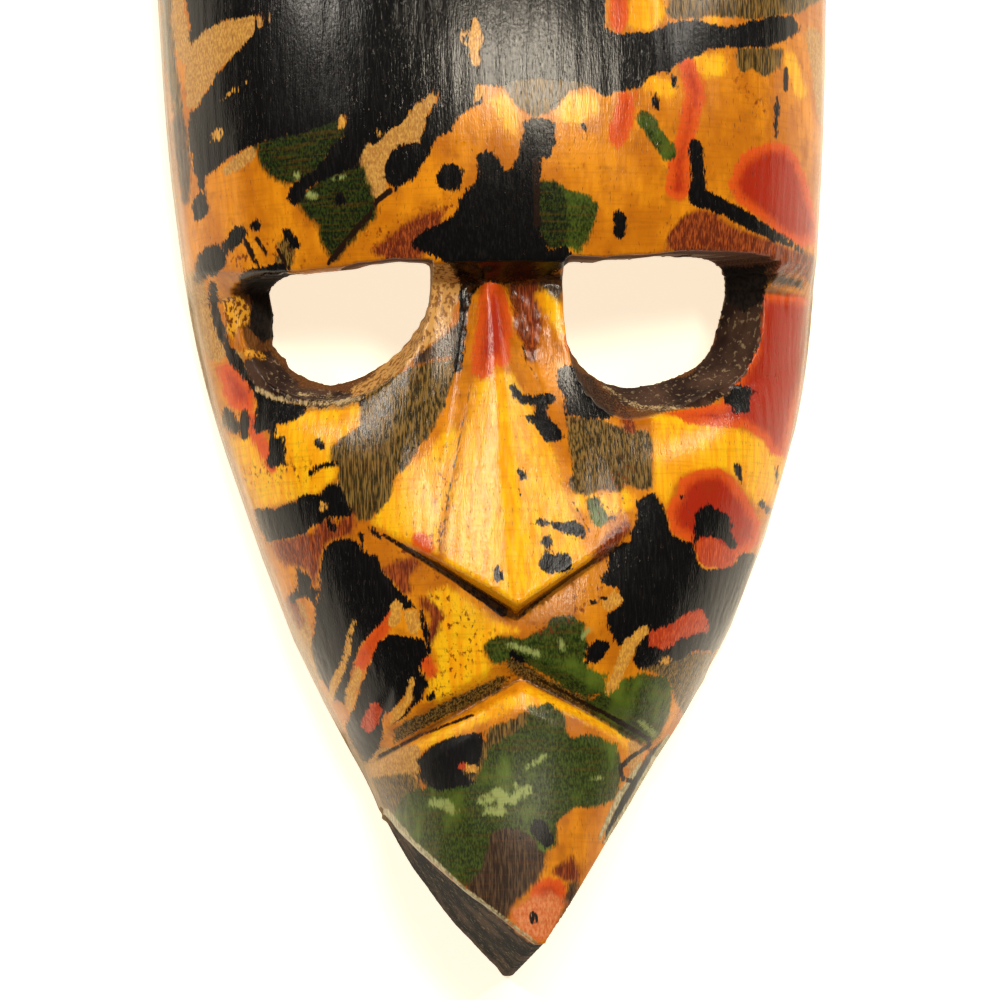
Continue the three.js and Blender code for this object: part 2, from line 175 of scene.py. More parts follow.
def ramp(value, low, high):
    """0 up to low, 1 from high on, and smooth between them."""
    t = np.clip((value - low) / (high - low), 0, 1)
    return t * t * (3 - 2 * t)


def half_width(y):
    level = y / HALF_LENGTH
    crown = np.clip((level - WIDEST) / (1 - WIDEST), 0, 1)
    dome = np.sqrt(1 - crown**CROWN_ROUND)
    return HALF_WIDTH * np.where(level <= WIDEST, along(OUTLINE, level), dome)


def middle(y):
    return HALF_WIDTH * BOW * np.exp(-(((y / HALF_LENGTH - BOW_LEVEL) / BOW_SPAN) ** 2))


def rise(share, fullness):
    return np.sqrt(np.maximum(0, 1 - np.abs(share) ** fullness))


def across(x, y):
    return (x - middle(y)) / np.maximum(half_width(y), 1e-6)


def face_billet(x, y):
    crown = FACE_DEPTH * along(FACE_CROWN, y / HALF_LENGTH)
    return RIM_EDGE + (crown - RIM_EDGE) * rise(across(x, y), FACE_FULLNESS)


def forehead(x, y):
    bulge = BULGE_LEVEL * HALF_LENGTH
    up = np.clip((y - bulge) / (HALF_LENGTH - bulge), 0, 1)
    dome = RIM_EDGE + (FOREHEAD_DEPTH - RIM_EDGE) * np.sqrt(1 - up**CROWN_ROUND)
    down = (bulge - y) / (bulge - BROW_EDGE)
    crown = np.where(y > bulge, dome, FOREHEAD_DEPTH - (FOREHEAD_DEPTH - BROW_DEPTH) * down**2)
    return RIM_EDGE + (crown - RIM_EDGE) * rise(across(x, y), BROW_FULLNESS)


def nose_height(x, y):
    t = np.clip((NOSE_ROOT[1] - y) / (NOSE_ROOT[1] - NOSE_TIP[1]), 0, 1)
    ridge = mix(NOSE_ROOT[0], NOSE_TIP[0], t)
    facet = mix(BRIDGE_WIDTH, NOSTRIL_WIDTH, t)
    skirt = facet + mix(SKIRT_WIDTH / 2, SKIRT_WIDTH, t)
    off = np.sqrt((x - ridge) ** 2 + RIDGE_ROUND**2) - RIDGE_ROUND
    top = mix(NOSE_ROOT_DEPTH, FACE_DEPTH, t) - face_billet(ridge, y)
    edge = mix(-BRIDGE_GROOVE, SKIRT_STEP, t)
    on_facet = mix(top, edge, off / facet)
    on_skirt = mix(edge, 0, np.clip((off - facet) / (skirt - facet), 0, 1))
    return np.where(off <= facet, on_facet, on_skirt)


def nose_base_line(x):
    return NOSE_BASE + NOSE_BASE_SLOPE * np.abs(x - NOSE_TIP[0])


def mouth_line(x):
    return MOUTH_APEX[1] - MOUTH_SLOPE * np.abs(x - MOUTH_APEX[0])


def mouth_cut(x, y):
    above = y - mouth_line(x)
    slope = MOUTH_DEPTH * np.clip(1 - above / LIP_ABOVE, 0, 1)
    steep = mix(MOUTH_DEPTH, LIP_DROP, -above / LIP_BELOW)
    bevel = LIP_DROP * np.clip(1 - (-above - LIP_BELOW) / LIP_BEVEL, 0, 1)
    return np.where(above >= 0, slope, np.where(-above <= LIP_BELOW, steep, bevel))


def brow_edge(x):
    start = HALF_WIDTH * 0.6
    return BROW_EDGE + TEMPLE_LIFT * np.clip((np.abs(x) - start) / (HALF_WIDTH - start), 0, 1) ** 2


def eye_reach(x, y, z):
    """1 on an eye opening's lower edge at a height, more outside it."""
    eye = {key: np.where(x > EYE_SHIFT, RIGHT_EYE[key], LEFT_EYE[key]) for key in LEFT_EYE}
    up = np.maximum(0, z - EYE_BACK)
    off = np.abs(x - EYE_SHIFT) - eye["spread"]
    wide = np.where(off > 0, eye["outer"] + eye["splay"] * up, eye["inner"])
    full = np.where(off > 0, OUTER_FULL, eye["full"] + FULL_GROWTH * up)
    down = np.maximum(0, EYE_CORNER - y) / (eye["drop"] + eye["lid"] * up)
    return ((np.abs(off) / wide) ** full + down**full) ** (1 / full)


def cheek_roll(x, y):
    out = (eye_reach(x, y, EYE_LIP) - 1) * LEFT_EYE["drop"]
    inner = LEFT_EYE["inner"]
    beside = np.clip((np.abs(x - EYE_SHIFT) - inner * 0.6) / inner, 0, 1)
    return CHEEK_ROLL * beside * np.clip(1 - np.maximum(0, out) / CHEEK_REACH, 0, 1) ** 2


def front(x, y):
    """Height of the carved front over the rim's plane."""
    on_nose = np.clip((y - nose_base_line(x)) / NOSE_BASE_RUN, 0, 1)
    face = face_billet(x, y) + nose_height(x, y) * on_nose - mouth_cut(x, y) - cheek_roll(x, y)
    on_brow = np.clip((y - BROW_FOOT) / (brow_edge(x) - BROW_FOOT), 0, 1)
    return np.maximum(RIM_EDGE, mix(face, forehead(x, y), on_brow))


def hollow_width(y):
    """Half the hollow's width at a level, and 0 beyond its ends."""
    low = -HALF_LENGTH + CHIN_BLOCK
    high = HALF_LENGTH - CROWN_BLOCK
    taper = HALF_WIDTH * 0.4
    closing = np.maximum(0, np.maximum(low + taper - y, y - high + taper) / taper)
    return (half_width(y) - RIM_WIDTH) * np.sqrt(np.maximum(0, 1 - closing**2))


def front_slope(x, y, step=0.05):
    along_x = (front(x + step, y) - front(x - step, y)) / (2 * step)
    along_y = (front(x, y + step) - front(x, y - step)) / (2 * step)
    return along_x, along_y


def lumps(points, size, seed):
    """Smooth random lumps from -1 to 1, of one size or one for each axis."""
    places = points / np.array(size)
    cell = np.floor(places).astype(np.int64)
    t = places - cell
    t = t * t * (3 - 2 * t)
    table = np.random.default_rng(seed).uniform(-1, 1, 4096)
    total = np.zeros(len(points))
    for corner in np.ndindex(2, 2, 2):
        at = cell + np.array(corner)
        key = (at[:, 0] * 73856093) ^ (at[:, 1] * 19349663) ^ (at[:, 2] * 83492791)
        share = np.prod(np.where(np.array(corner) == 1, t, 1 - t), axis=1)
        total += share * table[key & 4095]
    return total


def scoops(x, y, seed):
    """Depth of overlapping gouge cuts, 1 in the middle of each and 0 between them."""
    u = x / GOUGE_WIDTH
    v = y / (GOUGE_WIDTH * GOUGE_STRETCH)
    cell = np.floor(np.stack([u, v], 1)).astype(np.int64)
    table = np.random.default_rng(seed).uniform(0, 1, (1024, 2))
    nearest = np.full(len(x), 9.0)
    for side in np.ndindex(3, 3):
        at = cell + np.array(side) - 1
        jitter = table[((at[:, 0] * 7349) ^ (at[:, 1] * 9151)) & 1023]
        gap = (at[:, 0] + jitter[:, 0] - u) ** 2 + (at[:, 1] + jitter[:, 1] - v) ** 2
        nearest = np.minimum(nearest, gap)
    return 1 - np.clip(nearest, 0, 1)


# The wood's mesh

def select_only(piece):
    bpy.ops.object.select_all(action="DESELECT")
    piece.select_set(True)
    bpy.context.view_layer.objects.active = piece


def mesh_points(piece):
    points = np.zeros(len(piece.data.vertices) * 3)
    piece.data.vertices.foreach_get("co", points)
    return points.reshape(-1, 3) / MM


def mesh_normals(piece):
    normals = np.zeros(len(piece.data.vertices) * 3, np.float32)
    piece.data.vertex_normals.foreach_get("vector", normals)
    return normals.reshape(-1, 3).astype(float)


def place_points(piece, points):
    piece.data.vertices.foreach_set("co", (points * MM).ravel())
    piece.data.update()


def smoothed(points, edges, share, times):
    """Each point moved towards the middle of its neighbours."""
    count = np.bincount(edges.ravel(), minlength=len(points))[:, None]
    for _ in range(times):
        total = np.zeros_like(points)
        for axis in range(3):
            total[:, axis] = np.bincount(edges[:, 0], points[edges[:, 1], axis], len(points))
            total[:, axis] += np.bincount(edges[:, 1], points[edges[:, 0], axis], len(points))
        points = points + (total / count - points) * share
    return points


def copy_of_node(node, name):
    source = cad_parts[node]
    piece = bpy.data.objects.new(name, source.data.copy())
    bpy.context.scene.collection.objects.link(piece)
    select_only(piece)
    bpy.ops.object.mode_set(mode="EDIT")
    bpy.ops.mesh.select_all(action="SELECT")
    bpy.ops.mesh.remove_doubles(threshold=1e-6)
    bpy.ops.object.mode_set(mode="OBJECT")
    return piece


def front_share(points, normals):
    """1 where a point belongs to the carved front, 0 on the walls, the rim and the hollow."""
    x, y, z = points.T
    slope_x, slope_y = front_slope(x, y)
    size = np.sqrt(1 + slope_x**2 + slope_y**2)
    gap = np.abs(z - front(x, y)) / size
    facing = (normals[:, 2] - normals[:, 0] * slope_x - normals[:, 1] * slope_y) / size
    inside = 1 - ramp(np.abs(across(x, y)), 0.965, 0.985)
    return ramp(-gap, -2.6, -1.6) * ramp(facing, 0.45, 0.75) * inside


def settle_on_front(points, share):
    """Moves the points of the front from the solid's flats onto its smooth form."""
    x, y, z = points.T.copy()
    for _ in range(3):
        slope_x, slope_y = front_slope(x, y)
        size = 1 + slope_x**2 + slope_y**2
        gap = (z - front(x, y)) / size * share
        x += gap * slope_x
        y += gap * slope_y
        z -= gap
    move = np.stack([x, y, z], 1) - points
    far = np.linalg.norm(move, axis=1, keepdims=True) / FLAT_GAP
    return points + move / np.maximum(far, 1)


def hollow_share(points, normals, on_front):
    """1 in the hollow and on the rim's land, 0 on the front and the eyes' walls."""
    x, y, z = points.T
    deep = front(x, y) - z
    within = np.abs(x - middle(y)) < hollow_width(y) + 1.5
    return within * ramp(deep, 5, 8) * ramp(-normals[:, 2], -0.05, 0.3) * (1 - on_front)


def add_relief(points, normals, on_front, in_hollow):
    x, y, _ = points.T
    ripple = RIPPLE * lumps(points, (RIPPLE_LENGTH, RIPPLE_LENGTH * 1.6, RIPPLE_LENGTH), 3)
    grain = GRAIN * lumps(points, GRAIN_SIZE, 4)
    scoop = GOUGE_DEPTH * scoops(x, y, 7)
    rough = np.zeros(len(points))
    for px, py, reach, height in ROUGH_PLACES:
        centre = on_face(px, py)
        near = 1 - ramp(np.hypot(x - centre[0], y - centre[1]), reach * 0.5, reach)
        rough += near * height * lumps(points, ROUGH_SIZE, 11)
    on_rim = points[:, 2] < RIM_LEVEL
    lift = on_front * (ripple + grain) + rough * (normals[:, 2] > -0.3) + in_hollow * scoop
    lift = np.where(on_rim, 0, lift)
    return points + normals * lift[:, None]


def bow_chin_cut(points):
    """The chin's left cut, made a little round along its length, as a knife leaves it."""
    start, end = (on_face(*pixel) for pixel in CHIN_CUT)
    run = end - start
    out = np.array((run[1], -run[0])) / np.hypot(*run)
    t = (points[:, :2] - start) @ run / (run @ run)
    beyond = (points[:, :2] - start) @ out
    push = CUT_BOW * np.maximum(0, 4 * t * (1 - t)) * ramp(beyond, -7, -0.5)
    bowed = points.copy()
    bowed[:, :2] += push[:, None] * out
    return bowed


def chip_eye(points):
    """The ragged lower corner of the left opening, where splinters have broken off."""
    x, y, z = points.T
    centre = on_face(*CHIP_PLACE)
    near = 1 - ramp(np.hypot(x - centre[0], y - centre[1]), 5, 11)
    near = near * (1 - ramp(z, 26, 30)) * ramp(z, 6, 12)
    push = near * CHIP_SIZE * lumps(points, (4.2, 4.2, 9), 21)
    out = points.copy()
    out[:, 0] += push
    out[:, 1] += near * 1.2 * lumps(points, (3.5, 3.5, 9), 22)
    notch = on_face(*NOTCH_PLACE)
    notched = 1 - ramp(np.hypot(x - notch[0], y - notch[1]), 1, 4)
    out[:, 0] -= NOTCH_DEPTH * notched * (1 - ramp(z, 30, 33))
    return out


def carve_wood():
    piece = copy_of_node("mask", "mask_wood")
    piece.data.remesh_voxel_size = VOXEL * MM
    piece.data.use_remesh_fix_poles = False
    bpy.ops.object.voxel_remesh()
    edges = np.zeros(len(piece.data.edges) * 2, np.int32)
    piece.data.edges.foreach_get("vertices", edges)
    edges = edges.reshape(-1, 2)
    points = mesh_points(piece)
    normals = mesh_normals(piece)
    on_front = front_share(points, normals)
    in_hollow = hollow_share(points, normals, on_front) * (points[:, 2] > 0.5)
    points = settle_on_front(points, on_front)
    soft = smoothed(points, edges, 0.5, HOLLOW_SMOOTHING)
    points = mix(points, soft, in_hollow[:, None])
    flat = points[:, 2] < RIM_LEVEL
    even = smoothed(points, edges, 0.5, 2)
    even[:, 2] = np.where(flat, points[:, 2], even[:, 2])
    points = mix(even, points, 0.85 * on_front[:, None])
    place_points(piece, points)
    points = add_relief(points, mesh_normals(piece), on_front, in_hollow)
    points = bow_chin_cut(chip_eye(points))
    points[:, 2] = np.maximum(points[:, 2], 0)
    place_points(piece, points)
    thin_faces(piece)
    select_only(piece)
    bpy.ops.object.shade_smooth_by_angle(angle=math.radians(50))
    return piece


def thin_faces(piece):
    """Far fewer faces in the hollow and on the plain crown, and fewer on the rest."""
    points = mesh_points(piece)
    normals = mesh_normals(piece)
    calm = hollow_share(points, normals, front_share(points, normals)) > 0.5
    calm |= points[:, 1] > CALM_FROM
    select_only(piece)
    bpy.ops.object.mode_set(mode="EDIT")
    bpy.ops.mesh.select_mode(type="VERT")
    bpy.ops.mesh.select_all(action="DESELECT")
    bpy.ops.object.mode_set(mode="OBJECT")
    piece.data.vertices.foreach_set("select", calm)
    bpy.ops.object.mode_set(mode="EDIT")
    bpy.ops.mesh.decimate(ratio=CALM_KEPT)
    bpy.ops.mesh.select_all(action="INVERT")
    bpy.ops.mesh.decimate(ratio=FACE_KEPT)
    bpy.ops.object.mode_set(mode="OBJECT")


# The camera and the places of the photograph's pixels on the face

def camera_axes():
    towards = np.array((-math.tan(math.radians(CAMERA_LEFT)), -math.tan(math.radians(CAMERA_BELOW)), 1.0))
    towards /= np.linalg.norm(towards)
    right = np.cross((0, 1.0, 0), towards)
    right /= np.linalg.norm(right)
    up = np.cross(towards, right)
    turn = math.radians(CAMERA_ROLL)
    turned_right = right * math.cos(turn) - up * math.sin(turn)
    turned_up = up * math.cos(turn) + right * math.sin(turn)
    return turned_right, turned_up, towards


CAMERA_AXES = camera_axes()
CAMERA_PLACE = CAMERA_AIM + CAMERA_REACH * CAMERA_AXES[2]


def on_face(px, py):
    """Where the line of sight through a pixel of the photograph meets the front, as x and y."""
    right, up, towards = CAMERA_AXES
    half = PHOTO_SIZE / 2
    sight = -towards * CAMERA_REACH
    sight = sight + right * (px - half) * PHOTO_SCALE + up * (half - py) * PHOTO_SCALE
    height = 40.0
    for _ in range(6):
        place = CAMERA_PLACE + sight * (height - CAMERA_PLACE[2]) / sight[2]
        height = float(front(place[0], place[1]))
    return place[:2]


# Places in the photograph's pixels
CHIN_CUT = ((384, 814), (534, 943))  # upper edge of the chin's left cut
CHIP_PLACE = (272, 345)
NOTCH_PLACE = (271, 343)

# Rough places: pixel, reach and height in mm
ROUGH_PLACES = (
    (530, 300, 8, 0.5),
    (528, 335, 6, 0.35),
    (470, 280, 7, 0.35),
    (780, 280, 9, 0.18),
    (240, 330, 8, 0.35),
    (740, 330, 8, 0.3),
)


# Blots of colour, one list for each coat, in the order in which they were put on. A few blots are painted
# light and shade instead of a dye: highlights and glints, and shadow in cuts and under the brow, each
# said where it stands. A blot is a chain of (x, y, radius) or a patch's outline of (x, y), in the
# photograph's pixels, so that it sits on the face where the photograph shows it. Above the photograph's
# edge, where y is negative, the blots go on in the same manner.

# Bright yellow dye, and one painted highlight on the lower lip's bevel
BRIGHT_YELLOW_AND_LIP_HIGHLIGHT = (
    ((375, 430), (405, 470), (440, 440), (452, 420), (462, 440), (446, 500), (438, 553), (400, 540),
     (372, 522), (395, 480)),
    ((652, 415), (683, 411), (695, 421), (744, 431), (783, 453), (783, 502), (756, 506), (744, 486),
     (730, 472), (717, 468), (699, 472), (683, 474), (675, 482), (666, 502), (652, 490), (654, 462)),
    ((272, 428), (302, 413), (360, 405), (360, 426), (333, 444), (331, 461), (339, 470), (333, 482),
     (318, 493), (295, 499), (264, 509), (253, 507), (237, 470), (230, 438), (254, 436), (270, 467)),
    ((476, 380), (512, 374), (540, 420), (568, 500), (588, 560), (517, 607), (444, 562), (452, 490)),
    ((545, 290, 9), (570, 335, 10), (590, 362, 4)),
    ((575, 500, 8), (600, 505, 12), (625, 500, 10)),
    ((556, 110), (567, 94), (581, 92), (597, 99), (599, 112), (580, 124), (560, 122)),
    ((487, 100), (505, 90), (514, 101), (519, 115), (518, 138), (505, 130)),
    ((629, -12), (660, -12), (666, 9), (661, 23), (650, 32), (641, 30), (629, 25)),
    ((650, 82, 8), (668, 88, 8)), ((700, 66, 11), (720, 64, 10)), ((790, 60, 8), (800, 90, 8)),
    ((474, 30, 5), (476, 60, 4)), ((716, 2, 5), (716, 4, 5)), ((712, 19, 8), (712, 21, 8)),
    # Painted highlight: this chain along the lower lip's bevel is made lighter where the bevel faces up
    # into the light
    ((417, 747, 4), (471, 722, 5), (510, 703, 6), (531, 697, 8), (558, 706, 6), (582, 714, 5),
     (626, 738, 5), (633, 751, 5)),
    ((424, 596), (446, 586), (500, 622), (520, 632), (498, 636), (484, 650), (492, 676), (440, 702),
     (424, 700), (430, 680), (438, 660), (428, 640), (430, 618)),
    ((330, -250, 30), (390, -220, 24)), ((660, -170, 26), (700, -120, 20)),
)
TAN = (
    ((168, -60), (184, -60), (183, 10), (190, 46), (201, 33), (221, 22), (244, 17), (270, 11), (272, 20),
     (258, 27), (250, 38), (239, 48), (228, 60), (218, 70), (212, 82), (203, 92), (197, 106), (189, 107),
     (186, 84), (187, 66), (179, 54), (172, 30)),
    ((435, 91), (438, 98), (427, 112), (424, 125), (419, 143), (407, 143), (398, 145), (391, 154),
     (385, 165), (385, 185), (380, 196), (373, 201), (366, 190), (358, 170), (362, 156), (367, 143),
     (374, 147), (387, 132), (402, 125), (413, 107), (427, 98)),
    ((208, 108, 4), (199, 124, 5), (191, 141, 3)),
    ((251, 153, 5), (236, 164, 5), (228, 170, 3)),
    ((192, 285, 10), (205, 330, 10), (218, 352, 7)),
    ((434, 271), (448, 271), (459, 285), (455, 302), (448, 325), (434, 340), (415, 352), (406, 367),
     (388, 373), (378, 376), (392, 357), (406, 336), (419, 308), (427, 285)),
    ((358, 752), (417, 747), (421, 757), (415, 784), (400, 800), (380, 808), (362, 775)),
    ((236, 356, 4), (247, 374, 4), (262, 389, 4), (285, 399, 4), (312, 404, 4), (345, 403, 4),
     (366, 396, 3)),
    ((636, 748, 7), (634, 775, 5), (622, 806, 5), (608, 836, 4)),
    ((772, 520, 8), (765, 550, 8), (748, 600, 6), (728, 646, 5)),
    ((296, 610, 7), (304, 640, 6), (318, 676, 4)),
    ((815, 40, 10), (822, 120, 5)),
    ((520, -300, 26), (560, -270, 20)),
)
OLIVE = (
    ((361, 402), (369, 390), (381, 379), (410, 367), (455, 358), (452, 382), (444, 405), (432, 432),
     (417, 451), (406, 467), (394, 480), (390, 497), (379, 512), (369, 520), (358, 522), (352, 512),
     (344, 516), (333, 516), (325, 509), (329, 499), (320, 493), (325, 484), (337, 482), (339, 467),
     (329, 461), (331, 447), (343, 438), (360, 426)),
    ((566, 415), (607, 420), (617, 427), (648, 430), (653, 442), (653, 490), (638, 490), (624, 483),
     (621, 493), (600, 490), (590, 495), (575, 495), (566, 483), (573, 473), (568, 449)),
    ((666, 10), (676, -10), (680, -60), (800, -70), (822, 0), (797, 14), (756, 20), (721, 16), (671, 20)),
    ((733, 48), (783, 48), (783, 65), (765, 78), (752, 68), (740, 75)),
    ((503, 60), (583, 60), (600, 84), (567, 92), (556, 108), (535, 118), (518, 108), (503, 90)),
    ((158, -60), (168, -60), (172, 30), (182, 100), (186, 150), (176, 130), (164, 60)),
    ((277, 243), (288, 236), (297, 250), (292, 268), (276, 272)),
    ((485, 731), (510, 720), (529, 709), (530, 726), (505, 746), (486, 765)),
    ((372, 778), (412, 772), (424, 788), (414, 812), (396, 824), (380, 806)),
    ((478, 742), (530, 724), (520, 752), (500, 776), (474, 790), (430, 794), (412, 772), (440, 780)),
    ((393, 729), (440, 704), (500, 676), (512, 676), (494, 694), (440, 720), (394, 744)),
    ((640, 668), (671, 655), (715, 652), (704, 688), (686, 726), (674, 700), (668, 680)),
    ((514, 664, 7), (545, 684, 6), (590, 706, 6), (640, 738, 5)),
    ((160, -200, 16), (170, -120, 14)),
)
UMBER = (
    ((415, 352), (434, 342), (448, 331), (463, 317), (467, 333), (455, 356), (436, 360), (410, 368)),
    ((480, 826), (514, 818), (534, 825), (553, 833), (548, 852), (544, 872), (534, 884), (524, 896),
     (512, 908), (506, 926), (490, 912), (470, 894), (450, 874), (462, 862), (476, 850)),
    ((690, 262, 5), (740, 272, 5), (800, 284, 4)),
    ((540, 268), (566, 274), (561, 304), (551, 296), (534, 282)),
    ((574, 886, 6), (568, 905, 5), (556, 928, 3)),
    ((178, 120, 7), (184, 170, 7), (186, 200, 4)),
    ((206, 262, 10), (200, 276, 7)),
)
RUST = (
    ((670, 230), (687, 213), (700, 209), (716, 213), (728, 225), (744, 230), (767, 239), (800, 252),
     (822, 262), (820, 280), (778, 276), (733, 262), (687, 256), (664, 250)),
    ((270, 541), (293, 537), (312, 532), (320, 518), (333, 516), (337, 524), (352, 512), (357, 518),
     (352, 534), (337, 539), (326, 545), (322, 556), (320, 570), (314, 587), (306, 570), (295, 566),
     (284, 566), (276, 556)),
    ((510, 279), (539, 275), (541, 289), (534, 294), (541, 311), (544, 323), (539, 340), (537, 357),
     (529, 364), (522, 342), (515, 333), (512, 308), (507, 289)),
    ((551, 871), (573, 854), (582, 874), (577, 884), (562, 880)),
    ((379, 568), (402, 560), (412, 556), (421, 564), (408, 576), (410, 593), (402, 595), (393, 583)),
    ((424, 602, 6), (438, 616, 6), (430, 640, 4)),
    ((620, 403, 6), (631, 427, 6)),
    ((626, 526, 6), (612, 540, 8), (600, 556, 7)),
    ((805, 330, 8), (800, 420, 7), (790, 450, 5)), ((800, 264, 8), (815, 286, 6)),
    ((392, 232), (420, 214), (446, 206), (440, 236), (420, 258), (388, 262), (372, 250)),
    ((290, 600, 5), (300, 624, 4)),
    ((240, -300, 22), (290, -280, 26)),
)
RED = (
    ((742, 156), (755, 147), (769, 142), (788, 145), (799, 161), (806, 179), (811, 197), (817, 220),
     (820, 246), (801, 248), (778, 234), (755, 216), (737, 202), (728, 188), (733, 170)),
    ((618, 92), (636, 92), (634, 115), (629, 138), (618, 147), (609, 142), (609, 129), (615, 110)),
    ((687, 66, 10), (696, 92, 11), (688, 128, 9), (680, 160, 11), (678, 188, 13)),
    ((609, -30), (627, -30), (629, 14), (625, 28), (618, 34), (609, 25)),
    ((482, 282), (493, 279), (503, 287), (510, 308), (512, 333), (510, 362), (503, 367), (495, 364),
     (491, 374), (481, 379), (470, 374), (475, 333), (478, 304)),
    ((218, 367), (226, 363), (237, 367), (247, 379), (256, 388), (255, 401), (253, 411), (243, 411),
     (228, 407), (224, 394), (218, 375)),
    ((250, 418, 6), (258, 438, 7), (266, 452, 6), (272, 468, 5)),
    ((758, 292), (818, 300), (816, 340), (808, 380), (797, 412), (786, 457), (770, 455), (764, 441),
     (744, 428), (714, 427), (688, 423), (664, 413), (690, 407), (720, 404), (735, 380), (752, 350)),
    ((675, 494), (681, 478), (695, 470), (720, 468), (734, 478), (744, 494), (752, 506), (760, 523),
     (758, 543), (748, 553), (736, 560), (700, 560), (693, 545), (671, 533), (666, 511)),
    ((421, 541, 9), (426, 548, 6)),
    ((391, 612, 5), (382, 630, 8), (366, 652, 8), (360, 668, 6)),
    ((426, 662, 7), (431, 672, 6)),
    ((531, 888), (543, 879), (558, 879), (568, 888), (565, 903), (558, 920), (548, 937), (539, 942),
     (524, 932), (510, 917), (514, 910), (529, 900)),
    ((561, 335), (575, 335), (585, 352), (578, 357), (568, 350)),
    ((430, -190, 30), (470, -170, 22)), ((760, -150, 14), (775, -60, 10)),
)
GREEN = (
    ((542, 181), (558, 184), (572, 193), (588, 195), (597, 207), (592, 225), (586, 243), (579, 250),
     (567, 246), (549, 248), (540, 230), (537, 197)),
    ((645, 119, 7), (668, 152, 7)),
    ((485, 644), (500, 636), (524, 639), (546, 629), (553, 619), (573, 616), (582, 624), (585, 639),
     (587, 648), (582, 663), (597, 673), (607, 675), (602, 692), (585, 697), (573, 690), (553, 678),
     (529, 665), (514, 656), (495, 663), (485, 653)),
    ((607, 690), (621, 680), (643, 675), (665, 678), (672, 687), (667, 716), (658, 736), (648, 743),
     (626, 736), (604, 721), (587, 704), (597, 697)),
    ((529, 709), (548, 704), (563, 714), (565, 740), (594, 736), (616, 745), (621, 770), (614, 799),
     (597, 806), (573, 806), (556, 823), (556, 846), (544, 852), (536, 836), (514, 826), (492, 830),
     (484, 858), (466, 886), (448, 874), (426, 856), (402, 832), (392, 818), (404, 796), (424, 788),
     (476, 784), (485, 766), (490, 748), (510, 736), (527, 726)),
    ((594, 504, 6), (600, 518, 7)),
    ((620, -260, 24), (650, -240, 30)), ((225, -180, 20), (260, -150, 16)),
)
DARK_GREEN = (
    ((256, 144), (300, 128), (340, 114), (346, 134), (330, 152), (316, 172), (304, 178), (288, 183),
     (274, 176), (262, 162)),
    ((298, 200), (331, 172), (360, 165), (366, 183), (373, 201), (374, 214), (360, 230), (346, 246),
     (335, 258), (329, 252), (322, 234), (320, 223), (311, 219), (304, 210)),
    ((537, 186), (552, 184), (562, 196), (566, 220), (562, 244), (549, 248), (538, 230)),
)
# Painted highlights: pale green dabs that stand for the varnish's glints on the green, most of them on
# the chin
PAINTED_GREEN_GLINTS = (
    ((434, 803, 4), (446, 806, 4), (455, 812, 3)),
    ((480, 800, 3), (498, 794, 5), (512, 800, 4), (528, 790, 4)),
    ((486, 812, 3), (502, 811, 4)), ((516, 786, 2), (518, 788, 2)), ((592, 779, 2), (601, 778, 2)),
    ((527, 768, 1), (546, 756, 2)), ((510, 644, 2), (536, 654, 3)), ((560, 640, 2), (563, 648, 2)),
    ((583, 636, 2), (590, 630, 2)), ((640, 722, 2), (654, 734, 2)), ((308, 194, 3), (314, 196, 2)),
    ((296, 176, 3), (299, 179, 2)), ((334, 177, 1), (343, 176, 2)), ((464, 60, 4), (462, 74, 3)),
)
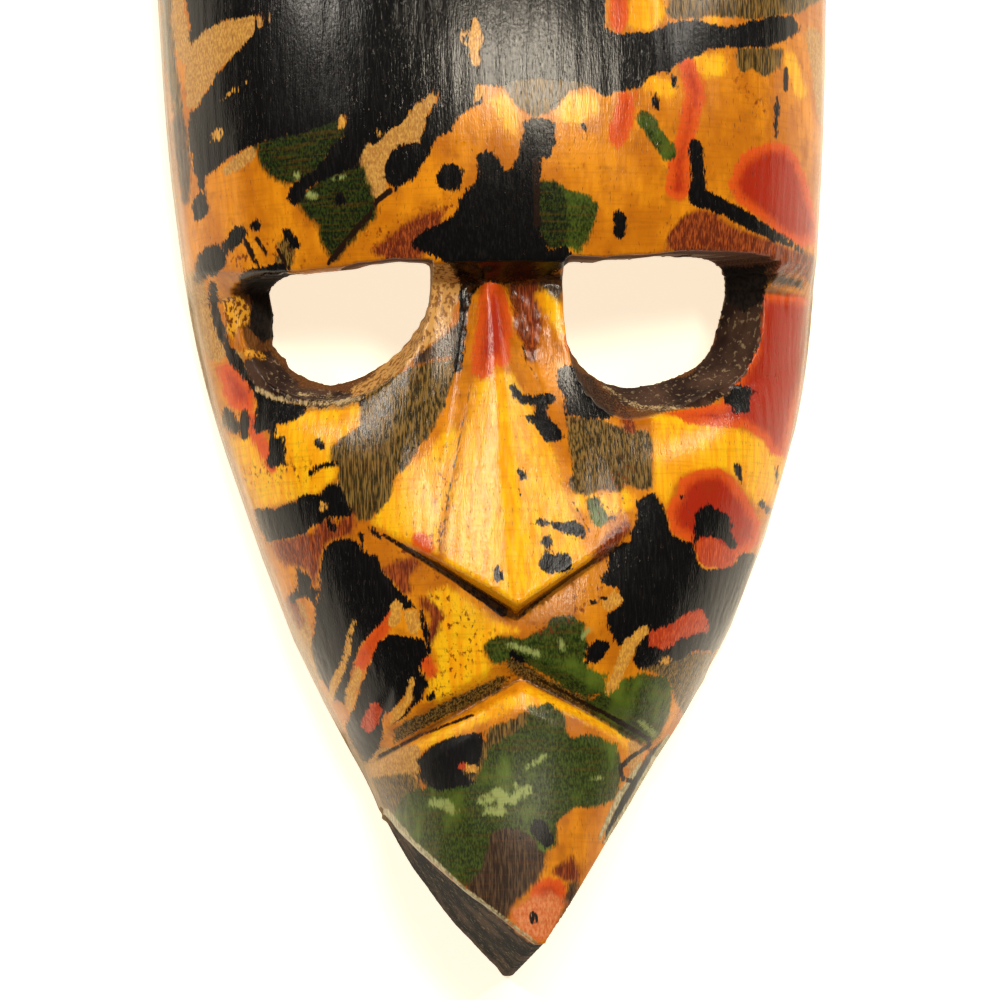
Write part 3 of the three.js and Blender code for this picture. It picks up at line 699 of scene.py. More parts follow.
BLACK = (
    ((186, -150), (187, 4), (190, 46), (201, 33), (221, 22), (244, 17), (272, 11), (273, 20), (258, 28),
     (250, 39), (239, 49), (228, 61), (218, 72), (212, 84), (204, 94), (198, 107), (189, 110), (189, 143),
     (192, 160), (196, 175), (199, 190), (204, 190), (206, 178), (219, 165), (233, 156), (250, 147),
     (264, 143), (306, 132), (338, 120), (346, 116), (344, 134), (332, 146), (322, 160), (312, 172),
     (303, 175), (290, 186), (287, 199), (295, 206), (303, 200), (308, 190), (326, 178), (345, 172),
     (357, 168), (362, 154), (368, 142), (374, 146), (388, 131), (402, 124), (414, 106), (428, 97),
     (436, 90), (439, 98), (428, 112), (424, 127), (419, 143), (408, 143), (399, 145), (391, 153),
     (385, 166), (385, 182), (392, 188), (396, 199), (401, 186), (414, 180), (422, 166), (430, 153),
     (436, 137), (451, 132), (460, 115), (474, 107), (475, 94), (481, 85), (500, 86), (530, 78),
     (560, 80), (590, 84), (606, 98), (618, 90), (641, 87), (648, 78), (671, 69), (682, 62), (698, 55),
     (710, 50), (728, 48), (767, 48), (785, 41), (801, 28), (790, 14), (756, 20), (728, 28), (700, 21),
     (671, 21), (664, 25), (650, 32), (638, 32), (618, 34), (607, 28), (605, 0), (612, -60), (596, -120),
     (560, -170), (500, -150), (455, -205), (400, -170), (340, -190), (290, -130), (230, -190)),
    ((199, 202, 8), (201, 211, 8)), ((212, 259, 14), (213, 261, 14)), ((228, 246, 7), (239, 234, 9)),
    ((256, 225, 5), (256, 226, 5)), ((450, 177, 13), (450, 178, 13)), ((340, 198, 5), (340, 200, 5)),
    ((620, 218, 6.5), (620, 232, 6.5)), ((777, 100, 4.5), (776, 136, 1)), ((651, 93, 3), (657, 107, 3)),
    ((672, 77, 3), (676, 86, 3)), ((286, 232, 4), (295, 246, 4)), ((248, 280, 8), (280, 272, 8)),
    ((524, 121), (540, 118), (556, 124), (555, 144), (549, 157), (542, 158), (539, 190), (541, 230),
     (549, 248), (567, 246), (572, 262), (556, 272), (530, 282), (505, 284), (480, 284), (471, 296),
     (466, 320), (462, 372), (453, 372), (456, 330), (460, 300), (450, 268), (440, 259), (429, 252),
     (411, 248), (409, 241), (418, 234), (440, 223), (456, 214), (460, 201), (469, 188), (478, 179),
     (476, 158), (483, 151), (491, 152), (499, 158), (505, 172), (514, 166), (520, 150)),
    ((694, 146, 7), (698, 175, 7), (698, 197, 10), (723, 207, 8), (751, 223, 8), (772, 235, 6),
     (801, 250, 3)),
    ((213, 290, 4), (215, 310, 4), (224, 340, 4), (235, 361, 4.5), (252, 382, 5), (258, 394, 5)),
    ((256, 394), (270, 392), (287, 401), (308, 405), (304, 413), (293, 423), (276, 424), (274, 436),
     (283, 438), (287, 451), (287, 465), (270, 468), (266, 461), (270, 444), (268, 430), (256, 436),
     (253, 426), (256, 413)),
    ((226, 410, 4), (230, 420, 7), (236, 430, 4)), ((244, 414, 4), (244, 436, 4.5)),
    ((253, 509), (276, 509), (295, 501), (302, 495), (318, 495), (325, 486), (339, 482), (352, 514),
     (339, 518), (329, 518), (314, 526), (302, 535), (283, 540), (268, 543), (260, 530), (253, 512)),
    ((309, 474, 3), (322, 466, 3), (334, 464, 3)), ((329, 524, 4), (334, 528, 4)),
    ((318, 442, 4), (321, 446, 3)), ((360, 534, 2.5), (362, 543, 3)), ((372, 530, 3), (380, 538, 2)),
    ((558, 369), (575, 364), (597, 371), (602, 381), (617, 393), (617, 415), (607, 420), (585, 418),
     (566, 415), (563, 396), (556, 379)),
    ((510, 384), (515, 384), (522, 393), (534, 396), (541, 393), (551, 393), (555, 400), (549, 405),
     (546, 415), (551, 420), (558, 425), (566, 439), (546, 442), (539, 432), (534, 425), (524, 420),
     (524, 415), (534, 414), (534, 405), (522, 403), (512, 396)),
    ((522, 472, 4.5), (522, 476, 4)), ((520, 492, 2), (520, 494, 2)),
    ((529, 523), (539, 519), (556, 523), (575, 522), (585, 529), (585, 539), (575, 536), (561, 532),
     (546, 526)),
    ((547, 542, 5), (548, 545, 4)), ((549, 563, 10), (563, 563, 10)), ((496, 568, 2.5), (499, 577, 5)),
    ((722, 394), (730, 384), (742, 384), (758, 392), (750, 400), (750, 411), (744, 413), (736, 414),
     (730, 406), (725, 405)),
    ((695, 511), (709, 503), (724, 513), (734, 521), (730, 531), (738, 547), (730, 551), (720, 539),
     (703, 537), (695, 543), (693, 523)),
    ((636, 500), (654, 492), (666, 511), (671, 535), (693, 543), (697, 560), (705, 569), (724, 568),
     (736, 562), (740, 553), (756, 553), (763, 566), (760, 584), (748, 615), (724, 645), (713, 653),
     (699, 651), (662, 666), (638, 668), (632, 660), (638, 651), (622, 647), (609, 633), (605, 615),
     (622, 604), (620, 588), (607, 586), (599, 580), (609, 570), (607, 549), (622, 543), (630, 541),
     (630, 531), (636, 519)),
    ((737, 468, 4), (741, 480, 3)), ((777, 469, 3), (776, 482, 1.5)), ((761, 504, 3.5), (762, 505, 3.5)),
    ((768, 510, 4), (773, 518, 4)), ((613, 518, 3), (613, 520, 3)), ((681, 495, 3), (681, 497, 3)),
    ((295, 566), (306, 572), (312, 576), (310, 587), (320, 589), (314, 604), (306, 597), (293, 602),
     (289, 595), (297, 589), (297, 576)),
    ((322, 551), (331, 541), (349, 537), (360, 543), (362, 551), (379, 556), (381, 568), (393, 583),
     (406, 597), (416, 608), (402, 610), (395, 602), (389, 612), (379, 625), (370, 633), (362, 644),
     (354, 662), (352, 675), (349, 692), (345, 706), (333, 700), (326, 688), (316, 671), (312, 652),
     (314, 614), (316, 602), (320, 587), (320, 570)),
    ((375, 646), (389, 633), (414, 637), (423, 639), (429, 648), (421, 664), (418, 677), (410, 683),
     (406, 696), (396, 706), (383, 717), (383, 734), (379, 748), (366, 763), (352, 748), (345, 732),
     (349, 716), (356, 704), (360, 687), (366, 671), (373, 660)),
    ((421, 612, 3), (425, 632, 3), (428, 652, 4)), ((432, 694, 4), (432, 698, 4)),
    ((412, 681), (425, 671), (427, 687), (421, 700), (412, 710), (393, 726), (391, 722), (410, 704)),
    ((417, 757), (437, 743), (456, 736), (483, 731), (485, 745), (478, 765), (461, 770), (476, 784),
     (437, 791), (420, 779)),
    ((540, 828, 9), (548, 842, 7)), ((534, 916, 3), (534, 919, 3.5)),
    ((585, 648), (597, 639), (611, 644), (604, 656), (597, 665), (585, 663)),
    ((513, 654, 4), (522, 660, 4)),
    ((662, 742, 2), (646, 764, 5.5), (627, 795, 5.5), (613, 822, 4), (604, 842, 2)),
    ((600, -330, 24), (560, -340, 18)), ((350, -330, 12), (370, -345, 10)),
)
WORN_RED = (
    ((512, 908), (528, 898), (552, 892), (566, 904), (558, 924), (546, 940), (530, 938), (514, 926)),
)
WORN_EDGE = (
    ((384, 813, 4), (413, 844, 2.4), (442, 869, 1.8), (464, 889, 1.6), (486, 905, 1.6), (509, 922, 1.6),
     (536, 943, 1.6)),
    ((641, 762, 1.5), (619, 797, 3), (607, 822, 2.5), (599, 840, 1.5)),
    ((668, 738, 3.5), (651, 766, 4), (635, 795, 3.5), (621, 818, 3), (606, 842, 2.5)),
    ((256, 386, 1), (280, 399, 1.2), (310, 404, 1)),
)
OVER_TAN = (
    ((354, 622, 1.5), (349, 640, 2.5), (345, 660, 3), (335, 682, 4), (331, 698, 3)),
    ((397, 606, 5), (394, 622, 5)), ((358, 672, 5), (352, 690, 5), (349, 708, 3)),
    ((407, 611), (419, 610), (420, 624), (419, 634), (409, 634), (406, 624)),
    ((409, 698, 4), (397, 714, 4), (392, 722, 2)), ((412, 681, 1.5), (408, 696, 1.5)),
    ((646, 629, 5), (630, 643, 6), (618, 676, 6), (609, 692, 4)),
    ((602, 600), (615, 590), (622, 602), (611, 611), (603, 609)), ((662, 662, 3), (668, 660, 3)),
    ((323, 505, 4), (324, 508, 4)), ((218, 133, 5), (216, 138, 5)),
    ((475, 20, 3), (476, 36, 6), (474, 50, 5), (477, 64, 3)), ((464, 29, 3), (463, 40, 2)),
    ((246, 83, 2.5), (235, 91, 2.5), (224, 98, 2.5)), ((343, 117, 3), (341, 126, 2.5)),
    ((380, 131, 2), (380, 133, 2)), ((480, 90, 5), (478, 102, 3)), ((337, 481, 2), (339, 483, 2)),
    ((467, 768, 4), (474, 770, 3)), ((740, 612, 3), (736, 624, 4)),
)
OVER_RED = (
    ((648, 631), (668, 627), (683, 615), (701, 609), (709, 621), (707, 631), (683, 637), (664, 650),
     (650, 647)),
    ((699, 543), (709, 537), (722, 543), (734, 551), (734, 564), (724, 567), (705, 568), (697, 560)),
    ((375, 710, 7), (369, 724, 7)), ((462, 766, 3), (466, 770, 2)),
)
# Thin dark lines. Most are lines of the stain, and those along the nose's base and the mouth's crease are
# painted shadow in the cuts
FINE_LINES_AND_CREASE_SHADOWS = (
    ((472, 380, -0.4), (462, 425, -0.2), (448, 500, -0.2), (439, 553, -0.4)),
    ((649, 738, 1), (650, 745, 1), (631, 757, 1.5), (620, 768, 1.5), (623, 779, 1.5), (631, 781, 1.5)),
    ((572, 500, -0.3), (590, 532, -0.3)), ((366, 384, 2), (361, 404, 2)),
    ((522, 342, 0), (527, 362, 0), (539, 381, -0.4)),
    ((244, 239, 1.5), (259, 268, 1.5)), ((256, 238, 1), (268, 256, 1)), ((278, 250, 1), (290, 270, 1)),
    ((371, 212, 1.5), (346, 241, 2), (329, 263, 2)), ((391, 190, 2), (375, 203, 2)),
    ((536, 160, 2.5), (537, 225, 2)), ((786, 69, 2), (786, 90, 2)), ((583, 124, 1.5), (587, 132, 1)),
    # Painted shadow: these lines run along the nose's base and in the mouth's crease
    ((368, 526, 1), (410, 551, 1.5), (446, 572, 2), (503, 612, 4)),
    ((516, 619, 1), (551, 590, 0.5), (595, 560, 1)), ((380, 756, 1), (421, 735, 0.5), (473, 715, 0.5)),
    ((531, 675, 0.5), (590, 706, 1), (649, 740, 1.5)), ((588, 603, 1.5), (606, 598, 1.5)),
    ((700, 262, 2), (735, 268, 2)), ((477, 104, 1.5), (486, 96, 1.5)),
)
SPECKLED = (
    ((375, 240, 12), (415, 225, 12), (450, 205, 8)), ((240, 262, 12), (275, 250, 14), (300, 262, 8)),
    ((400, 265, 6), (440, 262, 5)), ((590, 262, 5), (650, 262, 6), (700, 264, 6)),
    ((440, 600, 14), (470, 640, 20), (440, 690, 14)), ((570, 605, 12), (600, 585, 8)),
    ((540, 630, 8), (580, 610, 8)), ((395, 545, 8), (440, 575, 8)), ((450, 450, 8), (440, 540, 10)),
    ((440, 290, 10), (425, 320, 10), (400, 355, 8)), ((620, 470, 14), (610, 510, 14)),
    ((240, 480, 10), (300, 470, 12)), ((380, 600, 6), (400, 560, 6)), ((740, 80, 8), (760, 110, 8)),
)

# On the walls of both openings, in the photograph's pixels too
WALL_YELLOW = (
    ((224, 300), (236, 296), (249, 306), (250, 320), (238, 330), (234, 340), (226, 330)),
    ((247, 352, 3), (258, 356, 3), (264, 358, 2)),
)
# Black paint on the walls, and painted shade under the left brow
WALL_BLACK_AND_BROW_SHADE = (
    ((247, 285), (278, 283), (278, 336), (262, 342), (249, 330), (252, 310)),
    ((212, 286, 4), (215, 310, 4.5), (224, 342, 4), (238, 362, 4)),
    ((720, 268), (768, 266), (764, 300), (744, 312), (724, 300)),
    # Painted shade: the brow's underside over the left opening, darkened to black
    ((244, 273), (300, 273), (290, 284), (272, 292), (248, 292)),
)
WALL_BROWN = (
    ((720, 300), (764, 296), (760, 340), (748, 372), (726, 396), (700, 408), (660, 412), (620, 404),
     (604, 386), (596, 372), (640, 384), (690, 376), (716, 340)),
    ((268, 350), (300, 386), (340, 392), (366, 390), (360, 402), (320, 408), (280, 402), (254, 384),
     (240, 362)),
)
WALL_TAN = (
    ((430, 264), (450, 264), (462, 285), (455, 304), (446, 326), (432, 344), (414, 358), (400, 372),
     (370, 392), (352, 398), (350, 388), (374, 374), (392, 346), (408, 322), (420, 294)),
)
WALL_PALE = (
    ((256, 389, 1.5), (280, 400, 1.5), (310, 403, 1.5), (334, 403, 1.5), (362, 398, 1.5)),
    ((300, 394, 1), (330, 396, 1)), ((604, 386, 1), (640, 408, 1.2), (690, 408, 1)),
)

COATS = {
    "bright_yellow_and_lip_highlight": BRIGHT_YELLOW_AND_LIP_HIGHLIGHT,
    "tan": TAN,
    "olive": OLIVE,
    "umber": UMBER,
    "rust": RUST,
    "red": RED,
    "green": GREEN,
    "dark_green": DARK_GREEN,
    "painted_green_glints": PAINTED_GREEN_GLINTS,
    "black": BLACK,
    "worn_red": WORN_RED,
    "worn_edge": WORN_EDGE,
    "over_tan": OVER_TAN,
    "over_red": OVER_RED,
    "fine_lines_and_crease_shadows": FINE_LINES_AND_CREASE_SHADOWS,
    "speckled": SPECKLED,
}
WALL_COATS = {
    "wall_yellow": WALL_YELLOW,
    "wall_brown": WALL_BROWN,
    "wall_black_and_brow_shade": WALL_BLACK_AND_BROW_SHADE,
    "wall_tan": WALL_TAN,
    "wall_pale": WALL_PALE,
}


FAR = 1000.0  # more than any distance on the mask, in mm
NO_COAT = 20.0  # the distance that stands for a place without a coat


def on_picture(px, py):
    """A pixel's place in the picture, in mm."""
    return np.array((px, py)) * PHOTO_SCALE


def in_photo(points):
    """Where the photograph shows each point, as x and y in its pixels."""
    right, up, towards = CAMERA_AXES
    away = points - CAMERA_PLACE
    scale = CAMERA_REACH / -(away @ towards) / PHOTO_SCALE
    return PHOTO_SIZE / 2 + np.stack([away @ right, -(away @ up)], 1) * scale[:, None]


def chain_distance(points, dabs):
    """Distance to a chain of round dabs joined to each other, negative inside."""
    near = np.full(len(points), FAR)
    for (start, start_radius), (end, end_radius) in zip(dabs, dabs[1:]):
        run = end - start
        t = np.clip((points - start) @ run / max(run @ run, 1e-9), 0, 1)
        gap = np.linalg.norm(points - start - t[:, None] * run, axis=1)
        near = np.minimum(near, gap - mix(start_radius, end_radius, t))
    return near


def patch_distance(points, corners):
    """Distance to a patch's outline, negative inside."""
    near = np.full(len(points), FAR)
    inside = np.zeros(len(points), bool)
    for a, b in zip(corners, np.roll(corners, -1, axis=0)):
        run = b - a
        t = np.clip((points - a) @ run / max(run @ run, 1e-9), 0, 1)
        near = np.minimum(near, np.linalg.norm(points - a - t[:, None] * run, axis=1))
        crosses = (a[1] > points[:, 1]) != (b[1] > points[:, 1])
        level = np.where(b[1] == a[1], 1, b[1] - a[1])
        inside ^= crosses & (points[:, 0] < a[0] + run[0] * (points[:, 1] - a[1]) / level)
    return np.where(inside, -near, near)


def coat_distance(points, blots, place):
    """Distance in mm to the nearest blot of a coat; place turns a pixel into x and y in mm."""
    near = np.full(len(points), NO_COAT)
    for blot in blots:
        corners = np.array([place(px, py) for px, py, *_ in blot])
        if len(blot[0]) == 3:
            radii = [radius * PHOTO_SCALE for *_, radius in blot]
            near = np.minimum(near, chain_distance(points, list(zip(corners, radii))))
        else:
            near = np.minimum(near, patch_distance(points, corners))
    return near


def store(piece, name, values):
    attribute = piece.data.attributes.new(name, "FLOAT", "POINT")
    attribute.data.foreach_set("value", values.astype(np.float32))


def creases(x, y, reach=1.3):
    """How hollow the front is at a place, in mm over a short reach; negative on an edge."""
    around = front(x + reach, y) + front(x - reach, y) + front(x, y + reach) + front(x, y - reach)
    return around / 4 - front(x, y)


def stain_wood(piece):
    """Writes each coat's distance, and which part of the wood a point is on, into the mesh."""
    points = mesh_points(piece)
    normals = mesh_normals(piece)
    for name, blots in COATS.items():
        store(piece, name, coat_distance(points[:, :2], blots, on_face))
    shown = in_photo(points) * PHOTO_SCALE
    for name, blots in WALL_COATS.items():
        store(piece, name, coat_distance(shown, blots, on_picture))
    x, y, z = points.T
    depth = front(x, y) - z
    behind = hollow_share(points, normals, 0) * ramp(depth, 5, 9)
    rim = ramp(-normals[:, 2], 0.5, 0.8)
    eye_wall = ramp(depth, 0.4, 1.4) * ramp(np.abs(across(x, y)), 0, 0.1)
    eye_wall *= (y > EYES_FROM) * (y < EYES_TO) * (np.abs(across(x, y)) < SIDE_FROM) * (1 - behind)
    chin_wall = ramp(depth, 0.8, 1.8) * (y < CHIN_FROM) * (1 - ramp(normals[:, 2], 0.3, 0.5))
    store(piece, "behind", np.maximum(behind, rim))
    store(piece, "eye_wall", eye_wall)
    store(piece, "chin_wall", chin_wall)
    store(piece, "rubbed", ramp(-y, *RUBBED_LEVELS))
    store(piece, "above_brow", ramp(y, *UPPER_SIDE_LEVELS) * (x < 0))
    # How hollow the front is, which sets the painted shade in its creases
    store(piece, "crease", creases(x, y) * (1 - ramp(depth, 0.6, 1.6)))
    store(piece, "side", ramp(np.abs(across(x, y)), SIDE_FROM, 1.0) * ramp(-z, *SIDE_LEVELS))


# Materials

def linear(colour):
    """An sRGB hex colour as linear red, green, blue and alpha."""
    shares = [int(colour[i : i + 2], 16) / 255 for i in (1, 3, 5)]
    return tuple(s / 12.92 if s <= 0.04045 else ((s + 0.055) / 1.055) ** 2.4 for s in shares) + (1,)


def add(tree, kind, settings=None, inputs=None):
    """Adds a node with its settings, its sockets' values and the links into them."""
    node = tree.nodes.new(kind)
    for name, value in (settings or {}).items():
        setattr(node, name, value)
    for name, value in (inputs or {}).items():
        if isinstance(value, bpy.types.NodeSocket):
            tree.links.new(value, node.inputs[name])
        else:
            node.inputs[name].default_value = value
    return node


def grain_noise(tree, place, across_mm, along_mm, detail=2.0):
    """Noise in fibres that run along the mask, of a width and a length in mm."""
    turned = add(tree, "ShaderNodeMapping", None, {
        "Vector": place,
        "Scale": (1000 / across_mm, 1000 / along_mm, 1000 / across_mm),
    })
    noise = add(tree, "ShaderNodeTexNoise", None, {
        "Vector": turned.outputs["Vector"], "Scale": 1.0, "Detail": detail, "Roughness": 0.55,
    })
    return noise.outputs["Fac"]


def math_node(tree, operation, a, b=0.0):
    return add(tree, "ShaderNodeMath", {"operation": operation}, {0: a, 1: b}).outputs[0]


def ramp_node(tree, value, low, high):
    """0 at low and 1 at high, smooth between them; low may be the larger."""
    node = add(tree, "ShaderNodeMapRange", {"interpolation_type": "SMOOTHSTEP"}, {
        "Value": value, "From Min": low, "From Max": high, "To Min": 0.0, "To Max": 1.0,
    })
    return node.outputs["Result"]


def blend(tree, share, under, over):
    node = add(tree, "ShaderNodeMix", {"data_type": "RGBA"}, {0: share, 6: under, 7: over})
    return node.outputs[2]


def attribute(tree, name):
    return add(tree, "ShaderNodeAttribute", {"attribute_name": name}).outputs["Fac"]


def new_material(name):
    material = bpy.data.materials.new(name)
    material.use_nodes = True
    material.node_tree.nodes.clear()
    return material, material.node_tree


def stained_varnished_wood():
    """Close-grained hardwood, soaked with spirit dyes in blots and varnished. The dye runs
    along the fibres, so its edges are ragged up and down, and the varnish is thin enough
    for the grain to break its shine into streaks."""
    material, tree = new_material("stained varnished hardwood")
    place = add(tree, "ShaderNodeTexCoord").outputs["Object"]
    fibres = grain_noise(tree, place, 0.35, 4.0)
    streaks = grain_noise(tree, place, 1.3, 16.0)
    ragged = grain_noise(tree, place, 0.45, 1.8, 3.0)
    wander = grain_noise(tree, place, 3.5, 4.5)
    clouds = grain_noise(tree, place, 9.0, 14.0, 3.0)
    specks = grain_noise(tree, place, 0.4, 0.9, 1.0)
    dirt = grain_noise(tree, place, 0.9, 1.5)
    ripples = grain_noise(tree, place, 9.0, 0.7, 1.0)
    pores = ramp_node(tree, grain_noise(tree, place, 0.35, 2.0, 1.0), 0.66, 0.76)

    def times(a, b):
        return math_node(tree, "MULTIPLY", a, b)

    def scaled(value, middle_value, size):
        """A noise moved to zero and scaled."""
        return times(math_node(tree, "SUBTRACT", value, middle_value), size)

    # The dye's edge is moved by up to about a millimetre, more along the fibres
    raggedness = math_node(tree, "ADD", scaled(ragged, 0.5, 2.4), scaled(wander, 0.5, 1.6))

    def cover(name, soft=0.25, reach=0.0, rag=1.0):
        """1 inside a coat's blots. Soft and reach are in mm, and rag is a share."""
        edge = math_node(tree, "ADD", attribute(tree, name), times(raggedness, rag))
        return ramp_node(tree, edge, reach + soft, reach - soft)

    def mottled(pattern, low, high, dark, light):
        return blend(tree, ramp_node(tree, pattern, low, high), linear(dark), linear(light))

    def dabbed(pattern, low, high, share, under, over):
        """A paint with part of a pattern laid over it."""
        here = times(ramp_node(tree, pattern, low, high), share)
        return blend(tree, here, under, linear(over))

    def laid(under, coats):
        """A colour with coats laid over it, each a name, its edge as cover has it, and its paint."""
        for name, edge, paint in coats:
            under = blend(tree, cover(name, *edge), under, paint)
        return under

    colour = mottled(clouds, 0.36, 0.66, "#B96A0A", "#E08E10")
    colour = dabbed(streaks, 0.4, 0.75, 0.6, colour, "#BE6E08")
    colour = dabbed(wander, 0.52, 0.74, 0.4, colour, "#93500A")
    red = blend(tree, cover("red", 1.3, -2.0), linear("#D25216"), linear("#A3270E"))
    green = mottled(specks, 0.3, 0.75, "#1C2806", "#43531A")
    green = blend(tree, ramp_node(tree, clouds, 0.46, 0.66), green, linear("#51661E"))
    colour = laid(colour, (
        # Bright yellow dye, with a painted highlight on the lower lip's bevel
        ("bright_yellow_and_lip_highlight", (1.1,), mottled(streaks, 0.35, 0.65, "#EE9E0A", "#F5BE14")),
        ("tan", (0.25, 0.4), mottled(specks, 0.35, 0.7, "#A8763A", "#C8994C")),
        ("olive", (0.4,), mottled(fibres, 0.4, 0.64, "#2C240F", "#84662E")),
        ("rust", (0.8,), mottled(fibres, 0.4, 0.7, "#5E2412", "#A8501E")),
        ("red", (0.6,), red),
        ("umber", (0.8,), mottled(fibres, 0.4, 0.7, "#2E2018", "#5C4630")),
        ("worn_red", (1.0,), mottled(specks, 0.2, 0.8, "#C8602F", "#DF915C")),
        ("green", (0.4, 0.3), green),
        ("dark_green", (0.7, 0.6), mottled(specks, 0.35, 0.7, "#0F1607", "#2C3A10")),
        # Painted highlights: the pale green glints
        ("painted_green_glints", (0.5, 0.05), linear("#8D9A58")),
    ))
    # Ripples that the plane left across the grain
    colour = dabbed(ripples, 0.5, 0.68, 0.14, colour, "#7A4208")
    peppered = times(cover("speckled", 2.0), ramp_node(tree, dirt, 0.54, 0.7))
    colour = blend(tree, peppered, colour, linear("#7A340A"))
    colour = laid(colour, (
        ("black", (), mottled(fibres, 0.45, 0.8, "#060607", "#161413")),
        ("worn_edge", (0.2, 0.0, 0.3), mottled(dirt, 0.4, 0.6, "#8F8260", "#BDB48C")),
        ("over_tan", (), mottled(specks, 0.35, 0.7, "#B97F36", "#D9A33F")),
        ("over_red", (), mottled(fibres, 0.4, 0.7, "#A8371A", "#CC5424")),
        # Thin dark lines, partly painted shadow along the nose's base and the mouth's crease
        ("fine_lines_and_crease_shadows", (0.15, 0.2, 0.3), linear("#1E1008")),
    ))
    # Painted shade: the front's creases and hollows are darkened to a mottled dark brown, as shadow in
    # them would look
    crease_shade = times(ramp_node(tree, attribute(tree, "crease"), 0.1, 0.6), 0.65)
    colour = blend(tree, crease_shade, colour, mottled(dirt, 0.4, 0.6, "#1E0F06", "#573310"))

    # Where the wood is cut through, and along its sides, the dye is thin and dirty
    wall = mottled(fibres, 0.4, 0.7, "#2C1A12", "#6A482E")
    colour = blend(tree, times(attribute(tree, "eye_wall"), 0.85), colour, wall)
    outside = math_node(tree, "SUBTRACT", 1.0, attribute(tree, "behind"))
    brown = mottled(clouds, 0.36, 0.64, "#24140F", "#4C362A")
    wall_paints = (
        ("wall_brown", dabbed(dirt, 0.58, 0.68, 0.6, brown, "#9C8668")),
        ("wall_yellow", mottled(dirt, 0.4, 0.52, "#6A3410", "#E0A02A")),
        # Black on the walls, partly painted shade under the left brow
        ("wall_black_and_brow_shade", mottled(dirt, 0.4, 0.52, "#0A0808", "#1E1612")),
        ("wall_tan", mottled(dirt, 0.4, 0.52, "#8A5A2A", "#CC9A55")),
        ("wall_pale", mottled(dirt, 0.4, 0.52, "#8E7652", "#BFA679")),
    )
    for name, paint in wall_paints:
        colour = blend(tree, times(cover(name, 0.3), outside), colour, paint)
    cut = mottled(clouds, 0.42, 0.6, "#0F0C09", "#4A392C")
    cut = dabbed(dirt, 0.58, 0.7, 0.6, cut, "#8C7C58")
    colour = blend(tree, attribute(tree, "chin_wall"), colour, cut)
    side = mottled(streaks, 0.35, 0.7, "#7A6236", "#A98F5E")
    upper_side = mottled(streaks, 0.35, 0.7, "#2E2C10", "#77713A")
    side = blend(tree, attribute(tree, "above_brow"), side, upper_side)
    colour = blend(tree, times(attribute(tree, "side"), 0.75), colour, side)
    bare = mottled(streaks, 0.35, 0.7, "#7C5B36", "#A98656")
    bare = blend(tree, ramp_node(tree, clouds, 0.5, 0.75), bare, linear("#4E3A24"))
    colour = blend(tree, attribute(tree, "behind"), colour, bare)

    # Pores darken every coat
    colour = blend(tree, times(pores, 0.5), colour, linear("#2A1607"))

    height = math_node(tree, "ADD", fibres, times(specks, 0.6))
    height = math_node(tree, "SUBTRACT", height, times(pores, 0.5))
    bump = add(tree, "ShaderNodeBump", None, {
        "Strength": 0.45, "Distance": 0.0001, "Height": height,
    })
    # The varnish is missing on the cuts and the back, and rubbed dull on the chin
    unvarnished = math_node(tree, "MAXIMUM", attribute(tree, "chin_wall"), attribute(tree, "behind"))
    unvarnished = math_node(tree, "MAXIMUM", attribute(tree, "eye_wall"), unvarnished)
    roughness = math_node(tree, "ADD", times(fibres, 0.18), 0.12)
    roughness = math_node(tree, "ADD", roughness, times(unvarnished, 0.7))
    roughness = math_node(tree, "ADD", roughness, times(attribute(tree, "rubbed"), 0.2))
    shader = add(tree, "ShaderNodeBsdfPrincipled", None, {
        "Base Color": colour,
        "Roughness": math_node(tree, "MINIMUM", roughness, 0.95),
        "Normal": bump.outputs["Normal"],
        "IOR": 1.5,
        "Specular IOR Level": 0.22,
    })
    add(tree, "ShaderNodeOutputMaterial", None, {"Surface": shader.outputs["BSDF"]})
    return material


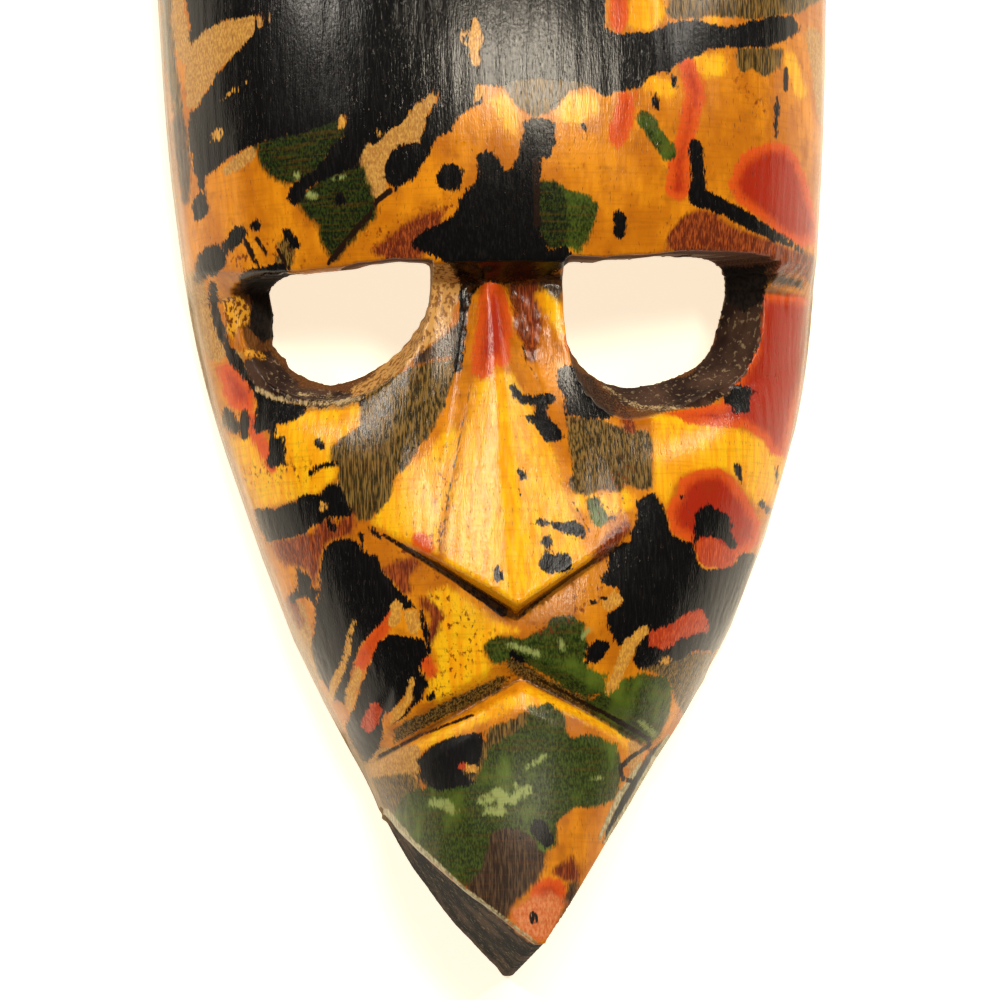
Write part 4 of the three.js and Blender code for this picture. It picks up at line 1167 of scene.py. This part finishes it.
def pale_paper():
    """Smooth matt paper, lit a little from below as on a light table, so that it stays
    bright where it shows through the eye openings."""
    material, tree = new_material("pale paper")
    shader = add(tree, "ShaderNodeBsdfPrincipled", None, {
        "Base Color": linear("#F6F1E8"),
        "Roughness": 0.9,
        "Emission Color": linear("#FFF2DA"),
        "Emission Strength": 0.8,
    })
    add(tree, "ShaderNodeOutputMaterial", None, {"Surface": shader.outputs["BSDF"]})
    return material


# The scene

def make_floor():
    bpy.ops.object.select_all(action="DESELECT")
    bpy.ops.mesh.primitive_plane_add(size=4)
    floor = bpy.context.object
    floor.name = "floor"
    floor.data.materials.append(pale_paper())


def make_light(name, place, aim, size, power, colour):
    data = bpy.data.lights.new(name, "AREA")
    data.shape = "RECTANGLE"
    data.size, data.size_y = size
    data.energy = power
    data.color = linear(colour)[:3]
    light = bpy.data.objects.new(name, data)
    light.location = place
    light.rotation_euler = (Vector(aim) - Vector(place)).to_track_quat("-Z", "Y").to_euler()
    bpy.context.scene.collection.objects.link(light)


def make_lights():
    make_light("key", (0.14, 0.26, 1.1), (0.0, -0.02, 0.04), (0.34, 0.12), 7.7, "#FFF2DC")
    make_light("left strip", (-0.62, 0.36, 0.59), (0.0, -0.03, 0.03), (0.08, 0.32), 3.7, "#FFF6E8")
    make_light("right strip", (0.76, 0.36, 0.55), (0.0, -0.03, 0.03), (0.07, 0.5), 3.5, "#FFF6E8")
    world = bpy.data.worlds.new("soft room")
    world.use_nodes = True
    background = world.node_tree.nodes["Background"]
    background.inputs["Color"].default_value = linear("#F4F1EA")
    background.inputs["Strength"].default_value = 0.15
    bpy.context.scene.world = world


def make_camera():
    right, up, towards = CAMERA_AXES
    data = bpy.data.cameras.new("camera")
    data.sensor_width = SENSOR
    data.lens = SENSOR / 2 / (PHOTO_SIZE / 2 * PHOTO_SCALE / CAMERA_REACH)
    camera = bpy.data.objects.new("camera", data)
    place = Matrix.Translation(Vector(CAMERA_PLACE * MM))
    turn = Matrix((right, up, towards)).transposed().to_4x4()
    camera.matrix_world = place @ turn
    bpy.context.scene.collection.objects.link(camera)
    bpy.context.scene.camera = camera


make_camera()
make_lights()
make_floor()
bpy.context.scene.view_settings.view_transform = "Standard"

mask = carve_wood()
stain_wood(mask)
mask.data.materials.clear()
mask.data.materials.append(stained_varnished_wood())
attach(mask, "root")
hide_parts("mask")
